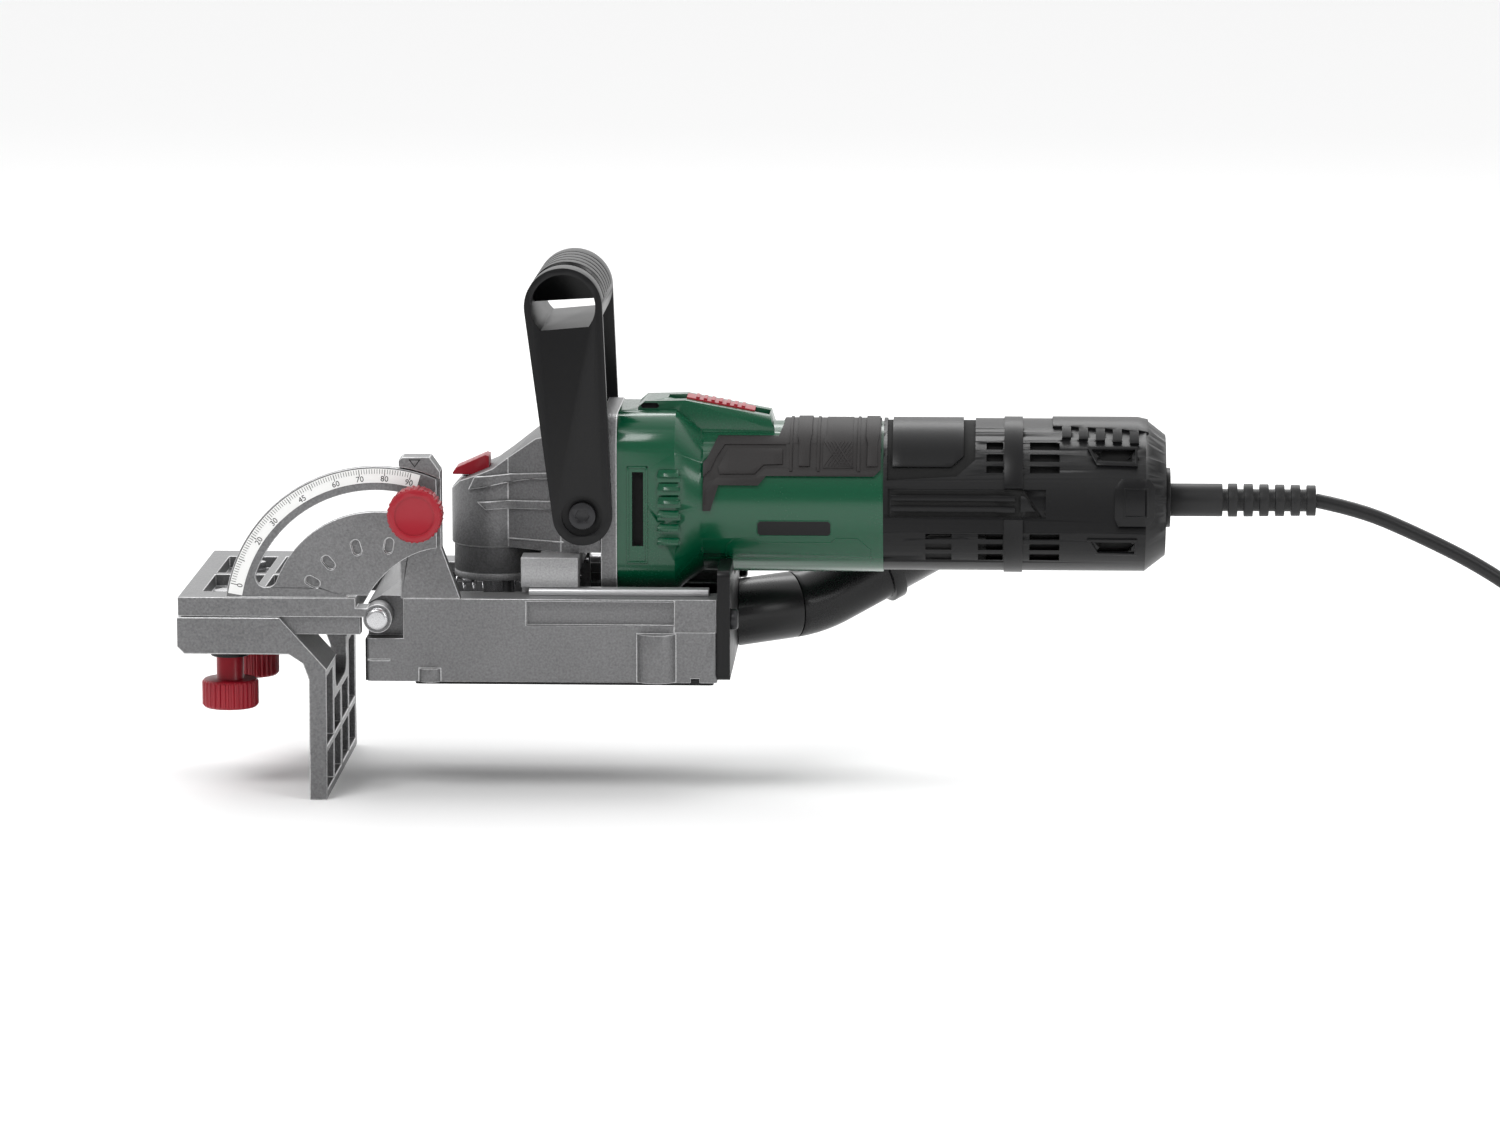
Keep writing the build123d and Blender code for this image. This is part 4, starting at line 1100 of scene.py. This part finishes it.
    def gear_ribs(self) -> None:
        """Lay the long ribs along the gear head's sides."""
        casing = Casing(("gear_head",), self.axis_z, self.housing_radius)
        casing.slab(
            [(-12.0, 79.2), (17.0, 85.6), (31.0, 86.6), (31.0, 90.0), (-9.0, 85.4)], 1.8, 1.2,
            Wrap.FLAT,
        )
        casing.slab([(-4.0, 70.8), (31.0, 73.2), (31.0, 77.2), (-8.0, 74.4)], 1.8, 1.2, Wrap.FLAT)
        casing.line([(6.0, 58.2), (31.0, 58.8)], 0.8, 0.7, 0.8, Wrap.FLAT)
        casing.sunk.free()
        # The ribs' rounded edges take the painted-highlight copy in slot 1.
        piece = keep(
            "gear_head_ribs", mesh_of(casing.raised, "gear_head_ribs"), CAST.material(),
            CAST_EDGE_HIGHLIGHT.material(),
        )
        bevel(piece, 0.45, 2, 40.0, 1)
        self.hardware.add(settle(piece), "power_head", "cast_metal")

    def build(self) -> None:
        """Make the whole motor casing."""
        self.gear_ribs()
        self.liners()
        self.pointer_mark()
        self.housing()
        self.grip()
        self.cover()


@dataclass
class TiltScale:
    """The tilt scale's marks and figures, and the fence's other enamel lines."""

    hardware: Hardware
    arrays: ArcArray
    hinge: Point3 = (-47.8, -64.42, 29.5)
    zero: float = 13.4
    inner: float = 59.6
    outer: float = 65.8
    figures: tuple[int, ...] = (0, 20, 30, 45, 60, 70, 80, 90)

    def angle(self, mark: float) -> float:
        """Return the angle from the +X line, toward +Z, of a mark in degrees."""
        return 180.0 - (self.zero + mark)

    def ticks(self) -> None:
        """Set the short marks each degree and the long ones each tenth."""
        for name, count, step, length in (("fine_marks", 91, 1.0, 2.0), ("long_marks", 10, 10.0, 2.9)):
            middle = self.outer - 0.3 - length / 2.0
            thick = 0.2 if count > 20 else 0.28
            size = (length, thick, 0.12)
            first = self.angle(0.0)
            piece = self.arrays.make(
                name, INK, count, middle, first, -step, size, self.hinge, (90.0, 0.0, 0.0),
            )
            self.hardware.add(piece, "fence", "scale_white")

    def numbers(self) -> None:
        """Set the figures inside the marks."""
        shape = bmesh.new()
        for value in self.figures:
            curve = bpy.data.curves.new("figure", "FONT")
            curve.body = str(value)
            curve.size = 3.5 * MM
            curve.align_x = "CENTER"
            curve.align_y = "CENTER"
            curve.extrude = 0.05 * MM
            curve.resolution_u = 3
            text = bpy.data.objects.new("figure", curve)
            bpy.context.scene.collection.objects.link(text)
            bpy.context.view_layer.update()
            graph = bpy.context.evaluated_depsgraph_get()
            mesh = bpy.data.meshes.new_from_object(text.evaluated_get(graph))
            turn = math.radians(self.angle(value))
            reach = (self.inner + 1.7) * MM
            x, y, z = (place * MM for place in self.hinge)
            place = Matrix.Translation((x + reach * math.cos(turn), y, z + reach * math.sin(turn)))
            stand = Matrix.Rotation(math.pi / 2.0, 4, "X")
            lean = Matrix.Rotation(turn - math.pi / 2.0, 4, "Z")
            mesh.transform(place @ stand @ lean)
            shape.from_mesh(mesh)
            bpy.data.objects.remove(text)
        piece = keep("scale_figures", mesh_of(shape, "scale_figures"), INK.material())
        self.hardware.add(piece, "fence", "scale_white")

    def lines(self) -> None:
        """Set the three red lines on the stop plate's outer face."""
        shape = bmesh.new()
        for y, low, high in ((-22.0, -40.0, -20.0), (0.0, -46.0, -14.0), (22.0, -40.0, -20.0)):
            size = Matrix.Diagonal((0.10 * MM, 1.0 * MM, (high - low) * MM, 1.0))
            place = Matrix.Translation((-78.04 * MM, y * MM, (low + high) / 2.0 * MM))
            bmesh.ops.create_cube(shape, size=1.0, matrix=place @ size)
        piece = keep("centre_lines", mesh_of(shape, "centre_lines"), LINE_RED.material())
        self.hardware.add(piece, "stop", "cast_metal")

    def build(self) -> None:
        """Make the marks, the figures and the lines."""
        self.ticks()
        self.numbers()
        self.lines()


@dataclass
class Knobs:
    """The ribs round the three red knobs."""

    hardware: Hardware
    arrays: ArcArray
    ribs: int = 30
    rib: Point3 = (0.8, 1.0, 10.4)

    def build(self) -> None:
        """Set the ribs."""
        for name, body, y in (
            ("near_knob_ribs", "knob_near", -40.0), ("far_knob_ribs", "knob_far", 40.0),
        ):
            piece = self.arrays.make(
                name, RED, self.ribs, 12.0, 0.0, 360.0 / self.ribs, self.rib, (-115.2, y, -7.7),
                soft=0.25,
            )
            self.hardware.add(piece, body, "red_plastic")
        low, high = (Vector(corner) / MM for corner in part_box("angle_knob"))
        centre = (-29.5, low.y + 5.9, 77.64)
        size = (0.8, 1.0, 9.6)
        piece = self.arrays.make(
            "angle_knob_ribs", RED, self.ribs, 11.6, 0.0, 360.0 / self.ribs, size, centre,
            (90.0, 0.0, 0.0), soft=0.25,
        )
        self.hardware.add(piece, "angle_knob_body", "red_plastic")


@dataclass
class Lead:
    """The mains lead: a short run to the floor, then a tied coil behind the tool's right."""

    hardware: Hardware
    diameter: float = 6.5
    free_length: float = 1.95
    exit: Point3 = (361.0, 0.0, 74.0)
    route: tuple[Point3, ...] = (
        (361.0, 0.0, 74.0),
        (380.0, 0.0, 70.2),
        (404.0, -0.4, 60.2),
        (434.0, -1.0, 45.5),
        (461.0, -2.0, 27.0),
        (484.0, -4.0, 3.0),
        (505.0, -7.5, -22.0),
        (529.0, -12.0, -40.0),
        (552.0, -15.6, -46.85),
    )
    ring: Point2 = (566.0, 21.5)
    outer_turn: float = 39.25
    inner_turn: float = 32.75
    low: float = -46.85
    points_per_turn: int = 24
    tail: tuple[Point3, ...] = (
        (556.0, 58.6, -37.4), (548.0, 57.8, -36.5), (540.0, 57.5, -36.4), (530.0, 57.5, -36.4),
    )

    def turns(self) -> list[Point3]:
        """Work out the coil's points.

        Returns:
            The points of seven and a half turns, up the inner column and down the outer one.
        """
        outer, inner, d = self.outer_turn, self.inner_turn, self.diameter
        stack = [
            (outer, 0), (inner, 0), (inner, 1), (inner, 2), (inner, 3), (outer, 3), (outer, 2),
            (outer, 1),
        ]
        count = self.points_per_turn
        grow = 2.0 / (1.0 + math.cos(math.pi / count))
        made: list[Point3] = []
        for turn, (radius, layer) in enumerate(stack):
            after = stack[min(turn + 1, len(stack) - 1)]
            last = count if turn < len(stack) - 1 else count // 2
            for index in range(last):
                if turn == 0 and index == 0:
                    continue
                share = max(0.0, min(1.0, (index / count - 0.80) / 0.18))
                share = share * share * (3.0 - 2.0 * share)
                reach = (radius + (after[0] - radius) * share) * grow
                height = self.low + d * (layer + (after[1] - layer) * share)
                angle = -math.pi / 2.0 + 2.0 * math.pi * index / count
                made.append(
                    (
                        self.ring[0] + reach * math.cos(angle),
                        self.ring[1] + reach * math.sin(angle),
                        height,
                    )
                )
        return made

    def build(self) -> None:
        """Lay the lead and its pieces."""
        points = list(self.route) + self.turns() + list(self.tail)
        curve = bpy.data.curves.new("lead", "CURVE")
        curve.dimensions = "3D"
        curve.bevel_depth = self.diameter / 2.0 * MM
        curve.bevel_resolution = 4
        curve.resolution_u = 6
        spline = curve.splines.new("NURBS")
        spline.points.add(len(points) - 1)
        for knot, place in zip(spline.points, points):
            knot.co = (place[0] * MM, place[1] * MM, place[2] * MM, 1.0)
        spline.order_u = 3
        spline.use_endpoint_u = True
        curve.use_fill_caps = True
        curve.materials.append(SHEATH.material())
        lead = bpy.data.objects.new("lead", curve)
        bpy.context.scene.collection.objects.link(lead)
        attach(lead, "power_head")
        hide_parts("power_cord", "cord_coil")
        tie = self.hardware.soften("cord_tie")
        plug = self.hardware.soften("mains_plug")
        tuple(value * MM for value in self.exit)
        self.diameter * MM
        log.info("lead laid with %d points", len(points))


@dataclass
class Studio:
    """The floor, the lights and the camera."""

    floor_z: float = -0.0509
    eye: Point3 = (0.2169, -2.7405, 0.4841)
    turn: float = 2.2
    rise: float = 9.1
    lens: float = 150.5
    front_glow: float = 0.30
    rear_glow: float = 1.06

    def floor(self) -> None:
        """Lay a plain pale floor."""
        bpy.ops.mesh.primitive_plane_add(size=60.0, location=(0.15, 0.0, self.floor_z))
        plane = bpy.context.object
        plane.name = "floor"
        bench = Bench("pale floor")
        surface = bench.make(
            "ShaderNodeBsdfPrincipled",
            {},
            {"Base Color": (0.93, 0.93, 0.93, 1.0), "Roughness": 0.9, "Specular IOR Level": 0.05},
        )
        bench.make("ShaderNodeOutputMaterial", {}, {"Surface": surface})
        plane.data.materials.append(bench.material)

    def light(self, name: str, place: Point3, aim: Point3, size: Point2, power: float) -> None:
        """Hang a soft box.

        Args:
            name: its name.
            place: where it hangs, in metres.
            aim: what it points at.
            size: its width and height in metres.
            power: its power in watts.
        """
        lamp = bpy.data.lights.new(name, "AREA")
        lamp.shape = "RECTANGLE"
        lamp.size, lamp.size_y = size
        lamp.energy = power
        box = bpy.data.objects.new(name, lamp)
        box.location = place
        box.rotation_euler = (Vector(aim) - Vector(place)).to_track_quat("-Z", "Y").to_euler()
        bpy.context.scene.collection.objects.link(box)

    def build(self) -> None:
        """Set up the studio."""
        scene = bpy.context.scene
        world = bpy.data.worlds.new("white room")
        world.use_nodes = True
        sky = Bench("room", world)
        way = sky.make("ShaderNodeTexCoord", out="Generated")
        behind = sky.make("ShaderNodeSeparateXYZ", {}, {0: way}, "Y")
        above = sky.make("ShaderNodeSeparateXYZ", {}, {0: way}, "Z")
        spread = {"interpolation_type": "SMOOTHSTEP"}
        limits = {
            "From Min": -0.35, "From Max": 0.35, "To Min": self.front_glow, "To Max": self.rear_glow,
        }
        glow = sky.make("ShaderNodeMapRange", spread, {"Value": behind, **limits})
        top = sky.make(
            "ShaderNodeMapRange", spread,
            {"Value": above, "From Min": 0.2, "From Max": 0.9, "To Max": 0.45},
        )
        back = sky.make(
            "ShaderNodeBackground", {}, {"Color": (1.0, 1.0, 1.0, 1.0), "Strength": glow + top},
        )
        sky.make("ShaderNodeOutputWorld", {}, {"Surface": back})
        scene.world = world
        scene.view_settings.view_transform = "Standard"
        self.floor()
        middle = (0.08, 0.0, 0.05)
        self.light("key", (-0.9, -1.5, 1.9), middle, (1.1, 0.8), 26.0)
        self.light("side", (1.6, -1.3, 0.9), middle, (0.5, 1.4), 10.0)
        self.light("back", (0.2, 1.5, 1.6), middle, (1.8, 0.6), 18.0)
        camera = bpy.data.objects.new("camera", bpy.data.cameras.new("camera"))
        camera.data.lens = self.lens
        camera.data.sensor_width = 36.0
        camera.data.clip_end = 100.0
        camera.location = self.eye
        a, e = math.radians(self.turn), math.radians(self.rise)
        back_way = Vector((math.sin(a) * math.cos(e), -math.cos(a) * math.cos(e), math.sin(e)))
        camera.rotation_euler = (-back_way).to_track_quat("-Z", "Y").to_euler()
        scene.collection.objects.link(camera)
        scene.camera = camera


def main() -> None:
    """Dress the whole joiner."""
    logging.basicConfig(level=logging.INFO, format="%(message)s")
    record = frame["record"]
    slots = {part["node"]: part["material_slot"] for part in record["subparts"]}
    bodies = {node: body for body, nodes in record["behaviour"]["bodies"].items() for node in nodes}
    hardware = Hardware(slots, bodies)
    Studio().build()
    Lead(hardware).build()
    own = {
        "power_cord", "cord_coil", "cord_tie", "mains_plug", "motor_housing", "grip_overmold",
        "rear_cover",
    }
    for node in sorted(bodies):
        hardware.dress(node)
        if node not in own and node not in hardware.inner:
            hardware.soften(node)
            log.info("%s softened", node)
    Springs(hardware).build()
    Motor(hardware).build()
    arrays = ArcArray()
    TiltScale(hardware, arrays).build()
    Knobs(hardware, arrays).build()


if __name__ == "__main__":
    main()
